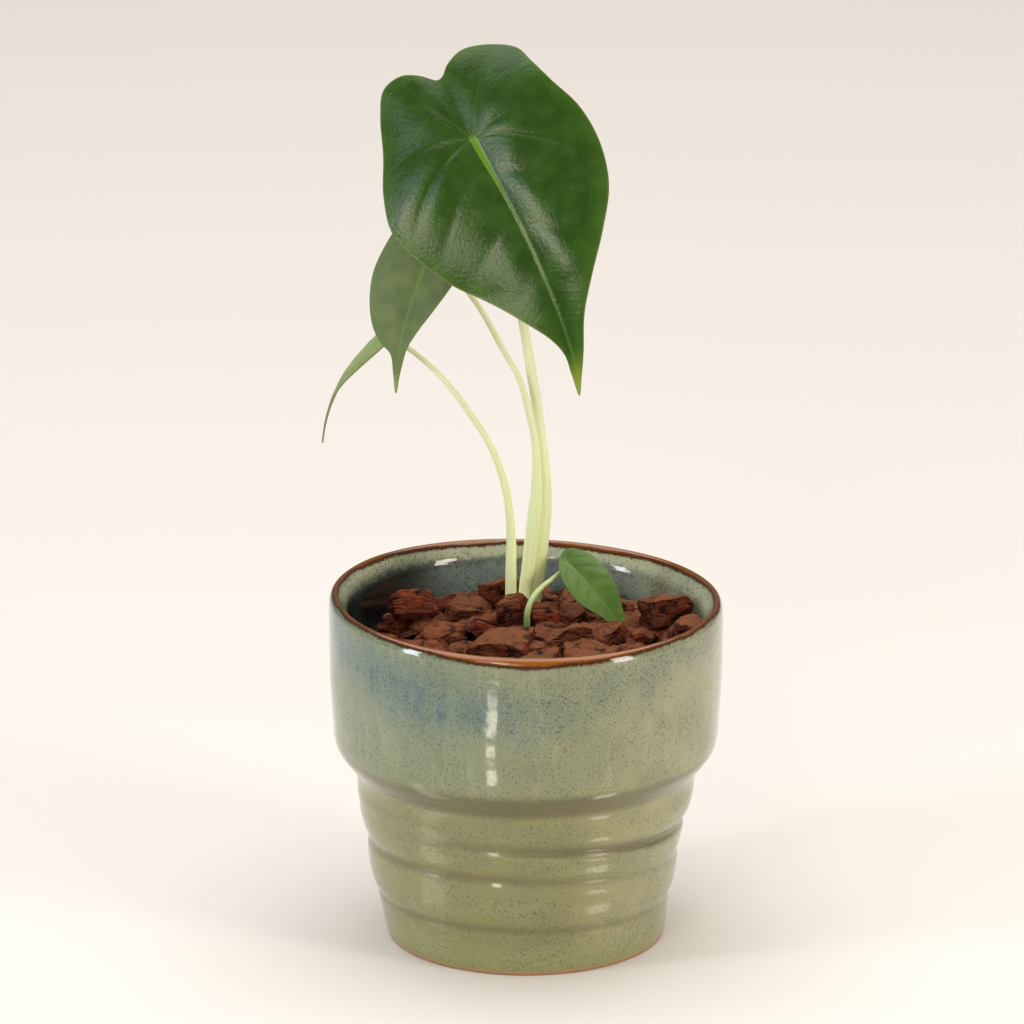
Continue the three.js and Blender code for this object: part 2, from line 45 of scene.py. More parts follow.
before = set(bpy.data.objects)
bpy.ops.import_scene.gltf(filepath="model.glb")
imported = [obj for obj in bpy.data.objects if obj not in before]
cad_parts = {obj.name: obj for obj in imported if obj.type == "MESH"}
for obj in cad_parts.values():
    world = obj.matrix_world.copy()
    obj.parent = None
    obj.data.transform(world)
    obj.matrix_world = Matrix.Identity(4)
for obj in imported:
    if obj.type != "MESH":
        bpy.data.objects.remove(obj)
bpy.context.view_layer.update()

MM = 0.001
PHOTO_WIDTH = 1024  # pixels
PHOTO_FOCUS = 7000  # the lens's focal length in the photo's pixels
PHOTO_PITCH = 17  # degrees that the camera looks down
SENSOR = 36  # the camera sensor's width in millimetres
CAMERA_PLACE = (-0.004619, -2.200187, 0.817999)

# Shapes, in millimetres. Those of the solids are repeated here, as is the order of the draws.

POT_HEIGHT = 116.4
LIP_TILT = 1.3
LIP_BACK = 0.6
LIP_WAVE = 0.5
LIP_WAVE_TURN = 150  # degrees
BODY_LEAN = -0.9
LEAN_TOP = 52
MIX_TOP = 96
FOOT = [(0, 2), (37.6, 2), (38.6, 0), (45.6, 0)]
OUTER_WALL = [
    (46.4, 1.6), (47.3, 7), (48.2, 12.5), (49.3, 16.5), (50.4, 20.5), (51.4, 26), (51.9, 30.5),
    (52.5, 34.5), (53.4, 38.5), (54.3, 42), (55.1, 45.5), (55.8, 50), (56, 54.5), (56.7, 57.5),
    (58.5, 60.3), (60.9, 63.3), (62.8, 66.3), (63.7, 69.5), (64.1, 75), (64.8, 88), (65, 100),
    (65, 112.4), (64.7, 114.6), (63.8, 116), (62.7, 116.4),
]
INNER_WALL = [
    (61.7, 115.6), (60.8, 114.2), (59.9, 112.9), (59.2, 111.8), (58.8, 110.9), (58.5, 109.8),
    (58.3, 108), (58.2, 105), (58.2, 97), (58, 71), (56.2, 63), (52, 56), (49.4, 42),
    (43.6, 15), (41, 9.2), (38, 8), (0, 8),
]
GROOVES = [
    {"height": 46, "fall": 5, "depth": 1.8, "above": 2.8, "below": 1.8, "shares": (0.1, 1)},
    {"height": 34.8, "fall": 5, "depth": 1.2, "above": 2.4, "below": 2.2, "shares": (1, 0.45)},
    {"height": 16.4, "fall": 2, "depth": 0.9, "above": 2.0, "below": 2.0, "shares": (1, 0.8)},
]
# Shallow steps right of the front, whose upper sides catch the light: height, depth, reach below.
STEPS = [(38.8, 0.5, 2.4), (24.6, 0.6, 3.2)]
STEP_TOP_REACH = 3.2
STEP_AZIMUTH = 27  # degrees
STEP_SPREAD = 17
HAND_SCALE = 0.045  # of the unevenness, a millimetre

BARK_EDGE_TOP = 100.5
BARK_CROWN_TOP = 103.5
BARK_RIGHT_RISE = 2.2
BARK_LEFT_FALL = 1.6
CROWN = (-1.5, 14)
CHIP_LENGTH = 16
CHIP_ROWS = [1, 7, 13, 19, 22]
CHIP_ROW_STEP = 12.2
CHIP_REACH = 50
CHIP_SEED = 20417
SPLITS = 8  # planes that a chip has broken along
SPLIT_SHARE = 0.94  # of what stands out past such a plane is gone
DIRT_REACH = 4.5
CRUMB_EDGE = 56
# Crumbs are painted darker, as shade between the chips.
CRUMB_PAINTED_SHADE = 0.75
BED_EDGE = 58.6
BED_RINGS = 44
BED_DROP = 5
# Chips that the front view picks out: x, y, z, length, width, height, turn and tilt in degrees.
FEATURE_CHIPS = [
    (-38, 20, 108, 19, 13, 9, 20, -35),
    (-19.5, 25, 105.5, 17, 10, 6, 8, 12),
    (-28, 2, 103.5, 19, 9, 6, 38, 10),
    (-8, -15, 104.5, 21, 16, 12, -8, 8),
    (12, -8, 105, 18, 14, 9, 25, -14),
    (24, -3, 105, 18, 11, 8, -35, 18),
    (21, -20, 103.5, 20, 10, 8, -20, 20),
    (-33, -16, 101.5, 20, 13, 9, 12, 15),
    (46, 11, 109.5, 17, 14, 11, 30, -12),
    (54, 0, 105.5, 14, 11, 10, 70, 10),
    (37, 3, 102.5, 18, 12, 8, 40, -10),
    (-4.6, 6.5, 111, 12, 7, 13, 0, 10),
    (4, 31, 106, 16, 10, 8, -15, 10),
    (-8, 33, 109, 15, 9, 9, 30, -8),
    (15, 14, 106, 14, 10, 8, 60, 10),
    (-44, -2, 100.5, 14, 9, 6, -30, 10),
]

# Blades: the junction with the petiole, the pose of the midrib, and the flat outline round the
# junction as (along the midrib, across it). veins gives the spacing of the side veins, and where
# the first one leaves the midrib on the left and on the right half, as shares of the spacing, and
# rib the width of the midrib.
LEAVES = [
    {
        "junction": (-17.1, 4, 270.2), "heading": -42, "dip": 50, "roll": -43,
        "length": 89.5, "half": 36, "bend_tip": 18, "bend_lobe": 25, "fold": 8, "droop": 0.35,
        "sway": -8.5, "wave": 1.0, "waves": 4, "phase": 0.6,
        "outline": [
            (89.6, -1.1), (84.5, 1.0), (78, 3.6), (67.2, 7.7), (57.2, 14.6), (46.2, 23.6),
            (34, 32), (20, 35.9), (6.7, 35.6), (-5.2, 31.7), (-14.5, 29), (-20.5, 27.2),
            (-26, 20), (-28.8, 11.3), (-26.8, 5), (-23.6, 0.9), (-23.6, -1), (-27.4, -5),
            (-30.2, -10.5), (-28.9, -17.6), (-22, -22.6), (-9.6, -28.2), (3, -34.8),
            (14.5, -37.8), (25, -34.9), (38, -28.6), (50, -19.2), (60.7, -11.4), (70, -5),
            (76, -2.5), (82, -2.1),
        ],
        "grid": (336, 46), "veins": (20, 0.4, 0.65), "rib": 2.5,
    },
    {
        "junction": (-31.5, 16, 229.4), "heading": -141, "dip": 62, "roll": 22,
        "length": 47.5, "half": 17, "bend_tip": 15, "bend_lobe": 20, "fold": 14, "droop": 0.3,
        "sway": 4, "wave": 0.5, "waves": 3, "phase": 0.4,
        "outline": [
            (47.4, 0.3), (41.5, 1.2), (37, 1.9), (32, 2.8), (27.1, 5), (17.8, 9.3), (6, 13),
            (-6, 13.6), (-13, 6.6), (-9.6, 0), (-14.8, -7.4), (-7, -12.6), (3, -15.3),
            (13.4, -16.5), (22, -14.8), (29.5, -11.1), (33.5, -7), (35.8, -3), (41, -1.2),
        ],
        "grid": (224, 30), "veins": (10.5, 0.3, 0.6), "rib": 1.5,
    },
    {
        "junction": (-46.1, 31, 197.1), "heading": 180, "dip": 36, "roll": -2,
        "length": 44.5, "half": 14, "bend_tip": 50, "bend_lobe": 12, "fold": 9, "droop": 0.3,
        "sway": 0, "wave": 0.35, "waves": 3, "phase": 1.2,
        "outline": [
            (43.8, 0), (36, 1.8), (26, 6.8), (13, 12.4), (-2, 12.8), (-11, 6), (-8, 0),
            (-11, -6), (-2, -12.8), (13, -12.4), (26, -6.8), (36, -1.8),
        ],
        "grid": (192, 26), "veins": (9, 0.4, 0.6), "rib": 1.4,
    },
    {
        "junction": (13.3, 13, 124), "heading": -33, "dip": 33, "roll": -32,
        "length": 31, "half": 10, "bend_tip": 20, "bend_lobe": 15, "fold": 14, "droop": 0.35,
        "sway": -2.5, "wave": 0.2, "waves": 3, "phase": 0,
        "outline": [
            (31, 0.5), (23, 4.4), (13.5, 7.7), (3, 7.7), (-3.2, 3.6), (-1.8, -1.6), (4.5, -6),
            (13, -7.1), (22, -3.8),
        ],
        "grid": (180, 24), "veins": (5.5, 0.4, 0.7), "rib": 0.9,
    },
]
FAN_STEP = math.radians(27)  # between two side veins in the lobes

# Petioles as stations of x, y, z, width across the front view and depth away from it.
PETIOLES = [
    [
        (0.3, 17.4, 94, 6.6, 4.8), (1.4, 18.2, 109, 7.1, 5.0), (2.6, 18.2, 118, 7.6, 5.0),
        (3.6, 18.4, 130, 8.0, 4.8), (4.7, 18.8, 141, 7.6, 4.4), (5.3, 19.0, 153, 5.6, 3.8),
        (4.6, 19.3, 165, 3.9, 3.4), (3.3, 19.6, 178, 3.5, 3.2), (1.0, 20.4, 192, 3.3, 3.1),
        (-1.2, 21.2, 206, 3.1, 3.0), (-4.0, 22, 222, 2.9, 2.8), (-8.5, 20.5, 242, 2.7, 2.6),
        (-13, 13.5, 260, 2.6, 2.5), (-16.4, 6.5, 268.5, 2.6, 2.5), (-17.6, 1.5, 272, 2.6, 2.5),
    ],
    [
        (-1.0, 14.4, 94, 3.2, 3.2), (-0.6, 15, 112, 3.9, 3.4), (0.7, 15, 121, 4.4, 3.5),
        (1.9, 15, 132, 4.5, 3.5), (3.2, 15, 143, 4.2, 3.4), (3.6, 15.3, 156, 3.0, 2.8),
        (2.9, 15.4, 166, 2.5, 2.4), (1.4, 15.8, 173, 2.4, 2.3), (-2.0, 18, 185, 2.0, 2.0),
        (-8.4, 21, 196.5, 1.9, 1.9), (-14.9, 23, 208, 1.8, 1.8), (-23.4, 24, 219.5, 1.7, 1.7),
        (-28.6, 21.4, 226.4, 1.7, 1.7), (-31.2, 17.6, 229.0, 1.7, 1.7),
        (-32.6, 13.2, 230.4, 1.7, 1.7),
    ],
    [
        (-5.2, 13.8, 94, 3.2, 3.2), (-5.0, 15, 110, 3.7, 3.5), (-5.0, 15.2, 121, 3.6, 3.3),
        (-4.9, 15.5, 130, 3.2, 3.0), (-5.4, 15.9, 139, 2.6, 2.5), (-6.7, 16.8, 148, 2.5, 2.4),
        (-11.1, 19, 161, 2.3, 2.2), (-18.5, 22.5, 172.5, 2.1, 2.0), (-28.3, 27, 184.2, 1.9, 1.9),
        (-38, 30.4, 192, 1.7, 1.7), (-44.6, 31.2, 195.8, 1.6, 1.6), (-48.6, 31, 200.4, 1.6, 1.6),
    ],
    [
        (1.2, 6.6, 94, 2.2, 2.2), (0.6, 3.0, 101, 2.1, 2.1), (0.3, 1.5, 107, 2.0, 2.0),
        (0.5, 1.2, 110.4, 1.9, 1.9), (1.9, 3.0, 114.2, 1.7, 1.7), (5.4, 7.4, 117.3, 1.5, 1.5),
        (8.6, 10.2, 119.0, 1.4, 1.4), (11.2, 12.2, 120.6, 1.3, 1.3), (12.8, 13.0, 123.4, 1.2, 1.2),
        (14.2, 12.0, 126.2, 1.2, 1.2),
    ],
]

# Softboxes, and small cards near the pot, each mirrored in one spot of its wall: name, place,
# target, width, height, the stage's strength for it, and colour.
BLADE = (-10, -20, 250)
CARD = "FFF8E4"
LIGHTS = [
    ("ceiling_softbox", (0, 400, 2600), (0, 400, 0), 3400, 3400, "top", "FFFCFA"),
    ("right_softbox", (1000, -660, 380), (0, 0, 380), 260, 720, "key", "FFF4E6"),
    ("left_softbox", (-1130, -480, 380), (0, 0, 380), 200, 720, "side", "EEF4FF"),
    ("front_cool_softbox", (-506, -1249, 1111), BLADE, 400, 580, "cool", "DCEAFF"),
    ("front_warm_softbox", (-363, -1383, 967), BLADE, 270, 340, "warm", "FFEFD2"),
    ("front_low_softbox", (-193, -1507, 751), BLADE, 300, 200, "low", "FFFBE0"),
    ("strip_1", (-71.4, -225.2, 42), (-11.4, -64, 103.4), 23, 3, "strip", CARD),
    ("strip_2", (-71.6, -225, 28.8), (-11.4, -63.9, 94.8), 23, 18, "strip", CARD),
    ("strip_3", (-54.2, -175.7, 28.6), (-11.4, -63.6, 83.3), 16, 7, "strip", CARD),
    ("strip_4", (-46.2, -156.6, 25.3), (-11.1, -63.1, 73.7), 13.5, 4, "strip", CARD),
    ("left_bounce", (-84, -60, 10), (-68, -53.5, 110), 21, 62, "bounce", CARD),
    ("right_spots", (64, -71, 4), (52, -58, 104), 18, 22, "spot", CARD),
]


def linear(hex_colour):
    """An sRGB hex colour as linear red, green, blue and alpha."""
    shares = [int(hex_colour[i:i + 2], 16) / 255 for i in (0, 2, 4)]
    return [c / 12.92 if c <= 0.04045 else ((c + 0.055) / 1.055) ** 2.4 for c in shares] + [1.0]


def colour(name, hex_colour, description):
    return FloatVectorProperty(
        name=name, description=description, subtype="COLOR", size=4, min=0, max=1,
        default=linear(hex_colour),
    )


def size(name, metres, description):
    return FloatProperty(
        name=name, description=description, unit="LENGTH", subtype="DISTANCE", min=0,
        default=metres, precision=5,
    )


def glow(name, watts, description):
    return FloatProperty(
        name=name, description=f"{description}, in watts a square metre", min=0, default=watts,
    )


class PlantPot(bpy.types.PropertyGroup):
    sides: IntProperty(name="Sides", description="Steps round the wall", default=240, min=32)
    row_step: size("Row step", 0.82 * MM, "Distance between two rows of the wall's mesh")
    ripple: size("Ripple", 0.2 * MM, "Unevenness left in the wall by the potter's hand")
    speck: size("Speck spacing", 0.66 * MM, "Distance between the iron specks in the glaze")
    sage: colour("Upper glaze", "7E8362", "Sage green of the upper wall")
    olive: colour("Lower glaze", "827F51", "Olive green of the lower body")
    blue: colour("Blue run", "4C6A70", "Blue where the glaze has run below the lip")
    navy: colour("Navy", "29384A", "Deep blue specks inside, above the bark")
    iron: colour("Iron speck", "363C2E", "Dark specks")
    amber: colour("Amber lip", "8E5112", "Thin glaze over the lip")
    umber: colour("Umber", "3F2013", "Edges of the lip's band and the thickest glaze")
    bisque: colour("Bare clay", "A98259", "Unglazed line at the foot")


class PlantBark(bpy.types.PropertyGroup):
    feature_cuts: IntProperty(name="Feature cuts", description="Cuts a side", default=27, min=2)
    loose_cuts: IntProperty(name="Loose cuts", description="Cuts a side", default=12, min=2)
    crumbs: IntProperty(name="Crumbs", description="Small fragments", default=260, min=0)
    relief: size("Relief", 1.0 * MM, "Depth of the broken surface")
    layer: size("Layer", 1.3 * MM, "Thickness of a layer in the bark")
    dark: colour("Dark bark", "280E07", "Hollows and old faces")
    red: colour("Red bark", "6B3520", "Fresh red-brown faces")
    tan: colour("Tan bark", "865334", "Pale worn faces")
    rust: colour("Rust bark", "8F3B1C", "Bright broken edges")
    mix: colour("Potting mix", "0E0704", "Damp crumb under the chips")


class PlantLeaf(bpy.types.PropertyGroup):
    thickness: size("Thickness", 0.5 * MM, "Thickness of the blade between its veins")
    pillow: size("Pillow", 0.38 * MM, "Height of the blade between its side veins")
    channel: size("Channel", 0.16 * MM, "Depth of the channel along the midrib")
    green: colour("Blade", "2F5016", "Deep velvet green of the old blades")
    shade: colour("Blade shade", "26430F", "Darkest green, along the veins")
    young: colour("Young blade", "597722", "Green of the youngest blade")
    vein: colour("Vein", "5F8722", "Midrib and junction")
    edge: colour("Edge", "6F7440", "Thin pale margin")
    tip: colour("Tip", "8C9C38", "Yellow-green of the tip")
    under: colour("Underside", "7D8F58", "Grey-green underside")


class PlantStem(bpy.types.PropertyGroup):
    sides: IntProperty(name="Sides", description="Steps round a petiole", default=32, min=8)
    rows: IntProperty(name="Rows", description="Steps along a petiole", default=150, min=8)
    rib: size("Rib", 0.07 * MM, "Height of the fine ribs along a petiole")
    pale: colour("Petiole", "EAF2BE", "Pale green of the petioles")
    cream: colour("Upper petiole", "E6E6C0", "Cream of the slender upper petioles")
    line: colour("Fibre line", "CDDB9C", "Darker lines along the petioles")


class PlantStage(bpy.types.PropertyGroup):
    floor: colour("Floor", "EDE8E2", "Pale floor")
    floor_width: size("Floor width", 14, "Side of the floor")
    sky: FloatProperty(name="Fill", description="Even light from all round", default=0.16, min=0)
    top: glow("Ceiling", 7.9, "Wide softbox overhead")
    key: glow("Key", 38, "Tall softbox on the right")
    side: glow("Side", 46, "Tall softbox on the left")
    cool: glow("Front, cool", 7.5, "Softbox at the front, which gives the blades their sheen")
    warm: glow("Front, warm", 21, "Narrow softbox at the front")
    low: glow("Front, low", 17, "Small softbox at the front")
    strip: glow("Strips", 30, "Small low strips, mirrored in the wall of the pot")
    bounce: glow("Bounce", 3.4, "Card lying at the foot of the pot on the left")
    spot: glow("Spots", 10, "Card lying at the foot of the pot on the right")


# Working with meshes


def smooth_path(points, count, closed=False):
    """Points at even parameters along a centripetal Catmull-Rom curve through the given ones."""
    points = np.asarray(points, float)
    if closed:
        spans = len(points)
        padded = points[np.arange(-1, spans + 2) % spans]
        where = np.arange(count) / count * spans
    else:
        spans = len(points) - 1
        padded = np.vstack([2 * points[0] - points[1], points, 2 * points[-1] - points[-2]])
        where = np.linspace(0, spans, count)
    gaps = np.linalg.norm(np.diff(padded[:, :3], axis=0), axis=1) ** 0.5
    span = np.minimum(where.astype(int), spans - 1)
    share = (where - span)[:, None]
    before, start, end, after = (padded[span + k] for k in range(4))
    gap_in, gap, gap_out = (gaps[span + k][:, None] for k in range(3))
    leave = gap * ((start - before) / gap_in - (end - before) / (gap_in + gap)) + end - start
    arrive = gap * ((after - end) / gap_out - (after - start) / (gap + gap_out)) + end - start
    curve = 3 * (end - start) - 2 * leave - arrive
    twist = 2 * (start - end) + leave + arrive
    return start + share * (leave + share * (curve + share * twist))


def even_path(points, step):
    """A smooth path through the points, resampled at about equal steps along its length."""
    fine = smooth_path(points, 60 * len(points))
    walked = np.concatenate([[0], np.cumsum(np.linalg.norm(np.diff(fine, axis=0), axis=1))])
    count = max(int(walked[-1] / step), 2)
    even = np.linspace(0, walked[-1], count + 1)
    return np.stack([np.interp(even, walked, column) for column in fine.T], axis=1)


def smooth_step(low, high, x):
    """0 at low, 1 at high, and eased between them; low may be the larger."""
    share = np.clip((x - low) / (high - low), 0, 1)
    return share * share * (3 - 2 * share)


def clear_selection():
    if bpy.context.mode != "OBJECT":
        bpy.ops.object.mode_set(mode="OBJECT")
    bpy.ops.object.select_all(action="DESELECT")


def primitive(kind, name, **place):
    """A new primitive, alone in the selection."""
    clear_selection()
    getattr(bpy.ops.mesh, f"primitive_{kind}_add")(**place)
    piece = bpy.context.object
    piece.name = name
    piece.data.name = name
    return piece


def ringed_disc(name, sides, rings, radius):
    """A disc, inset ring by ring and closed at its middle."""
    piece = primitive("circle", name, vertices=sides, radius=radius, fill_type="NGON")
    bpy.ops.object.mode_set(mode="EDIT")
    for _ in range(rings - 1):
        bpy.ops.mesh.inset(thickness=radius / rings)
    bpy.ops.mesh.poke()
    bpy.ops.object.mode_set(mode="OBJECT")
    return piece


def points_of(piece):
    places = np.empty(len(piece.data.vertices) * 3)
    piece.data.vertices.foreach_get("co", places)
    return places.reshape(-1, 3)


def place_points(piece, places):
    piece.data.vertices.foreach_set("co", np.asarray(places, float).ravel())
    piece.data.update()


def store(piece, name, values):
    """A number or a vector at each vertex, for the materials to read."""
    values = np.asarray(values, np.float32)
    is_vector = values.ndim == 2
    kind = "FLOAT_VECTOR" if is_vector else "FLOAT"
    attribute = piece.data.attributes.new(name, kind, "POINT")
    attribute.data.foreach_set("vector" if is_vector else "value", values.ravel())


def apply_modifiers(piece):
    bpy.context.view_layer.objects.active = piece
    for modifier in list(piece.modifiers):
        bpy.ops.object.modifier_apply(modifier=modifier.name)


def join(pieces, name):
    """Several pieces as one, which keeps their vertex attributes."""
    clear_selection()
    for piece in pieces:
        piece.select_set(True)
    bpy.context.view_layer.objects.active = pieces[0]
    bpy.ops.object.join()
    pieces[0].name = name
    pieces[0].data.name = name
    return pieces[0]


def smooth_shading(piece, degrees):
    clear_selection()
    piece.select_set(True)
    bpy.context.view_layer.objects.active = piece
    bpy.ops.object.shade_smooth_by_angle(angle=math.radians(degrees))


def hand_over(piece, materials, nodes=()):
    """Gives a finished piece its materials, its body and the nodes it stands for."""
    piece.data.materials.clear()
    for material in materials:
        piece.data.materials.append(material)
    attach(piece, "root")
    if nodes:
        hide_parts(*nodes)


# Materials

# Settings that many nodes share
TIMES = {"operation": "MULTIPLY"}
TIMES_PLUS = {"operation": "MULTIPLY_ADD"}
MINUS = {"operation": "SUBTRACT"}
EASED = {"interpolation_type": "SMOOTHSTEP"}
COLOURS = {"data_type": "RGBA"}


def add_node(tree, kind, inputs=(), output=0, **settings):
    """One output of a new shader node with these settings.

    The inputs are in the order of the node's sockets, or a dict by socket. Each one is a value, a
    hex colour or another node's output.
    """
    node = tree.nodes.new("ShaderNode" + kind)
    for name, value in settings.items():
        setattr(node, name, value)
    for socket, value in inputs.items() if isinstance(inputs, dict) else enumerate(inputs):
        if isinstance(value, bpy.types.NodeSocket):
            tree.links.new(value, node.inputs[socket])
        else:
            node.inputs[socket].default_value = linear(value) if isinstance(value, str) else value
    return node.outputs[output]


def new_material(name, **constants):
    """A material with the shader's constant sockets set, and what adds nodes to its tree."""
    material = bpy.data.materials.new(name)
    material.use_nodes = True
    shader = material.node_tree.nodes["Principled BSDF"]
    for socket, value in constants.items():
        shader.inputs[socket.replace("_", " ")].default_value = value
    return material, partial(add_node, material.node_tree)


def coat(add, base, tint, value, start, end, most=1, masks=(), eased=True):
    """Lays a tint over the base: none where value is start, and most of it where value is end."""
    easing = "SMOOTHSTEP" if eased else "LINEAR"
    share = add("MapRange", [value, start, end, 0, most], interpolation_type=easing)
    for mask in masks:
        share = add("Math", [share, mask], **TIMES)
    return add("Mix", {0: share, 6: base, 7: tint}, 2, **COLOURS)


def coats(add, base, *layers):
    """Lays coats over the base one after another, each given as coat's arguments from tint on."""
    for layer in layers:
        base = coat(add, base, *layer)
    return base


def finish_material(material, base, rough=None, height=None, strength=1, depth=0):
    """Colour, roughness and relief go to the shader; depth is the relief's, in metres."""
    tree = material.node_tree
    results = {"Base Color": base, "Roughness": rough}
    if height is not None:
        relief = {"Height": height, "Strength": strength, "Distance": depth}
        results["Normal"] = add_node(tree, "Bump", relief)
    for socket, result in results.items():
        if result is not None:
            tree.links.new(result, tree.nodes["Principled BSDF"].inputs[socket])
    return material


def glaze_material(pot):
    """Reactive glaze on thrown stoneware: glossy, run and pooled, with iron specks.

    The melt thins to amber over the lip, breaks blue where it has run, and gathers darker in the
    grooves. Painted shade darkens the band under the shoulder and the inside low on the left, and
    the right side is painted paler and warmer, partly as painted light. Its surface is smooth glass
    with a faint ripple, duller on the lower body.
    """
    material, add = new_material(
        "reactive_glaze_on_stoneware", IOR=1.5, Specular_IOR_Level=0.42, Coat_Weight=0.4,
        Coat_Roughness=0.04,
    )
    mm = add("VectorMath", {0: add("TexCoord", output="Object"), "Scale": 1000}, operation="SCALE")
    x, y, height = add("SeparateXYZ", [mm]).node.outputs
    azimuth = add("Math", [x, add("Math", [y, -1], **TIMES)], operation="ARCTAN2")
    sine = add("Math", [azimuth], operation="SINE")
    cosine = add("Math", [azimuth], operation="COSINE")
    from_lip, groove = (
        add("Attribute", output="Fac", attribute_name=name) for name in ("from_lip", "groove")
    )
    drawn = add("VectorMath", [mm, (1, 1, 0.14)], **TIMES)
    thrown = add("VectorMath", [mm, (0.3, 0.3, 1)], **TIMES)
    # Each pattern with its size in millimetres, its detail and its roughness
    patterns = [
        (mm, 15, 4, 0.5), (drawn, 2.8, 5, 0.6), (thrown, 6, 3, 0.5), (mm, 0.9, 3, 0.5),
        (mm, 7, 2, 0.5),
    ]
    clouds, streaks, rings, grain, ripple = (
        add("TexNoise", {"Vector": place, "Scale": 1 / mesh, "Detail": detail, "Roughness": rough})
        for place, mesh, detail, rough in patterns
    )

    # Olive below and sage above, paler and warmer to the right and cooler to the left, which is
    # partly the glaze's colour and partly painted light, then clouds, the rings of throwing, pale
    # runs and a paler heel.
    upper = add("MapRange", [height, 54, 78], **EASED)
    base = add("Mix", {0: upper, 6: pot.olive, 7: pot.sage}, 2, **COLOURS)
    base = coats(
        add, base,
        ("A5A282", sine, 0.05, 0.85, 0.5),
        ("7B8A73", sine, 0.05, -0.6, 0.5, [upper]),
        ("747C5C", clouds, 0.38, 0.68, 0.5),
        ("A6A678", rings, 0.48, 0.7, 0.16),
        ("9BA287", streaks, 0.5, 0.72, 0.4, [upper], False),
        ("979A66", height, 15, 5, 0.45),
    )

    # The blue run hangs from the lip like a garland, lowest a little left of the front.
    turn = add("Math", [azimuth, math.radians(12)], operation="ADD")
    swing = add("Math", [turn], operation="SINE")
    rise = add("Math", [swing, swing], **TIMES)
    garland = add("Math", [rise, 18, 91], **TIMES_PLUS)
    off = add("Math", [height, garland], **MINUS)
    off = add("Math", [streaks, 16, off], **TIMES_PLUS)
    above = add("MapRange", [off, -3, 13], **EASED)
    below = add("MapRange", [off, 31, 14], **EASED)
    band = add("Math", [above, below], **TIMES)
    left = add("MapRange", [sine, 0.2, -0.5, 0.34, 0.92], **EASED)
    patchy = add("MapRange", [clouds, 0.32, 0.6, 0.5])
    drip = add("MapRange", [streaks, 0.38, 0.6, 0.5])
    masks = [band, left, patchy, drip]
    base = coat(add, base, pot.blue, from_lip, 0.5, 5, 1, masks, eased=False)

    # Inside, the melt has run down and gathered blue-grey above the bark, with a navy fringe.
    # Low on the left, a near black is painted shade.
    base = coat(add, base, "B4B899", from_lip, -0.5, -3, 0.75, eased=False)
    pooled = add("Math", [streaks, -7, from_lip], **TIMES_PLUS)
    shore = add("MapRange", [sine, 0.35, 0.85, 1, 0.12])
    pool = add("MapRange", [pooled, -9.5, -13.5, 0, 0.7], **EASED)
    pool = add("Math", [pool, shore], **TIMES)
    base = add("Mix", {0: pool, 6: base, 7: "6F8890"}, 2, **COLOURS)
    ebb = add("MapRange", [pooled, -13.5, -11], **EASED)
    low = add("MapRange", [from_lip, -2, -9], **EASED)
    base = coats(
        add, base,
        (pot.navy, pooled, -9, -10.5, 0.6, [ebb, shore]),
        # near black low on the left inside: painted shade
        ("0C0F0E", sine, -0.4, -0.8, 0.95, [low]),
    )

    # Iron specks: fine ones all over, closer in clouds and rings, and larger ones in the blue.
    crowd = add("Math", [clouds, rings], operation="ADD")
    crowd = add("MapRange", [crowd, 0.85, 1.2, 0.86, 0.15])
    wobble = add("TexNoise", {"Vector": mm, "Scale": 1 / 0.7, "Detail": 2}, "Color")
    shaken = add("VectorMath", [wobble, (1.1, 1.1, 1.1), mm], **TIMES_PLUS)
    fine, large = (
        add("TexVoronoi", {"Vector": shaken, "Scale": share * MM / pot.speck}) for share in (1, 0.7)
    )
    draw, size_draw, _ = add("SeparateColor", [fine.node.outputs["Color"]]).node.outputs
    sparse = add("Math", [band, -0.34, crowd], **TIMES_PLUS)
    picked = add("Math", [draw, sparse], operation="GREATER_THAN")
    reach = add("Math", [size_draw, 0.3, -0.13], **TIMES_PLUS)
    reach = add("Math", [grain, 0.5, reach], **TIMES_PLUS)
    within = add("Math", [reach, fine], **MINUS)
    base = coat(add, base, pot.iron, within, -0.2, 0.14, 0.66, [picked], eased=False)
    deep = add("Math", [band, pool], operation="MAXIMUM")
    few = add("Math", [deep, 0.4, 0.05], **TIMES_PLUS)
    few = add("Math", [crowd, -0.14, few], **TIMES_PLUS)
    reach = add("Math", [few, add("SeparateColor", [large.node.outputs["Color"]])], **TIMES)
    within = add("Math", [reach, large], **MINUS)
    speck = add("Mix", {0: deep, 6: pot.iron, 7: pot.navy}, 2, **COLOURS)
    base = coat(add, base, speck, within, -0.14, 0.12, 0.7, eased=False)
    # Darker olive where the glaze pools in the grooves; under the shoulder the same darkening is
    # painted shade.
    base = coat(add, base, "4A3E16", groove, 0.05, 1.6, 0.68)

    # The lip: amber in the middle of its band, umber at the frayed edges. The band comes lowest
    # at the front, and reaches farthest inside at the back.
    frayed = add("Math", [grain, 1.6, from_lip], **TIMES_PLUS)
    frayed = add("Math", [clouds, 2.4, frayed], **TIMES_PLUS)
    run = add("Math", [cosine, 0], operation="MAXIMUM")
    run = add("Math", [run, 4], operation="POWER")
    lowest = add("Math", [run, 2.2, 3.9], **TIMES_PLUS)
    outer_edge = add("Math", [frayed, lowest], **MINUS)
    back = add("Math", [cosine, 0], operation="MINIMUM")
    inner_edge = add("Math", [back, -1.3, frayed], **TIMES_PLUS)
    heart = add("MapRange", [inner_edge, 1.2, 2.8], **EASED)
    lip = coat(add, pot.umber, pot.amber, outer_edge, -0.5, -2, 1, [heart])
    begun = add("MapRange", [inner_edge, 0.4, 1.1])
    base = coat(add, base, lip, outer_edge, 0.45, -0.35, 1, [begun], eased=False)

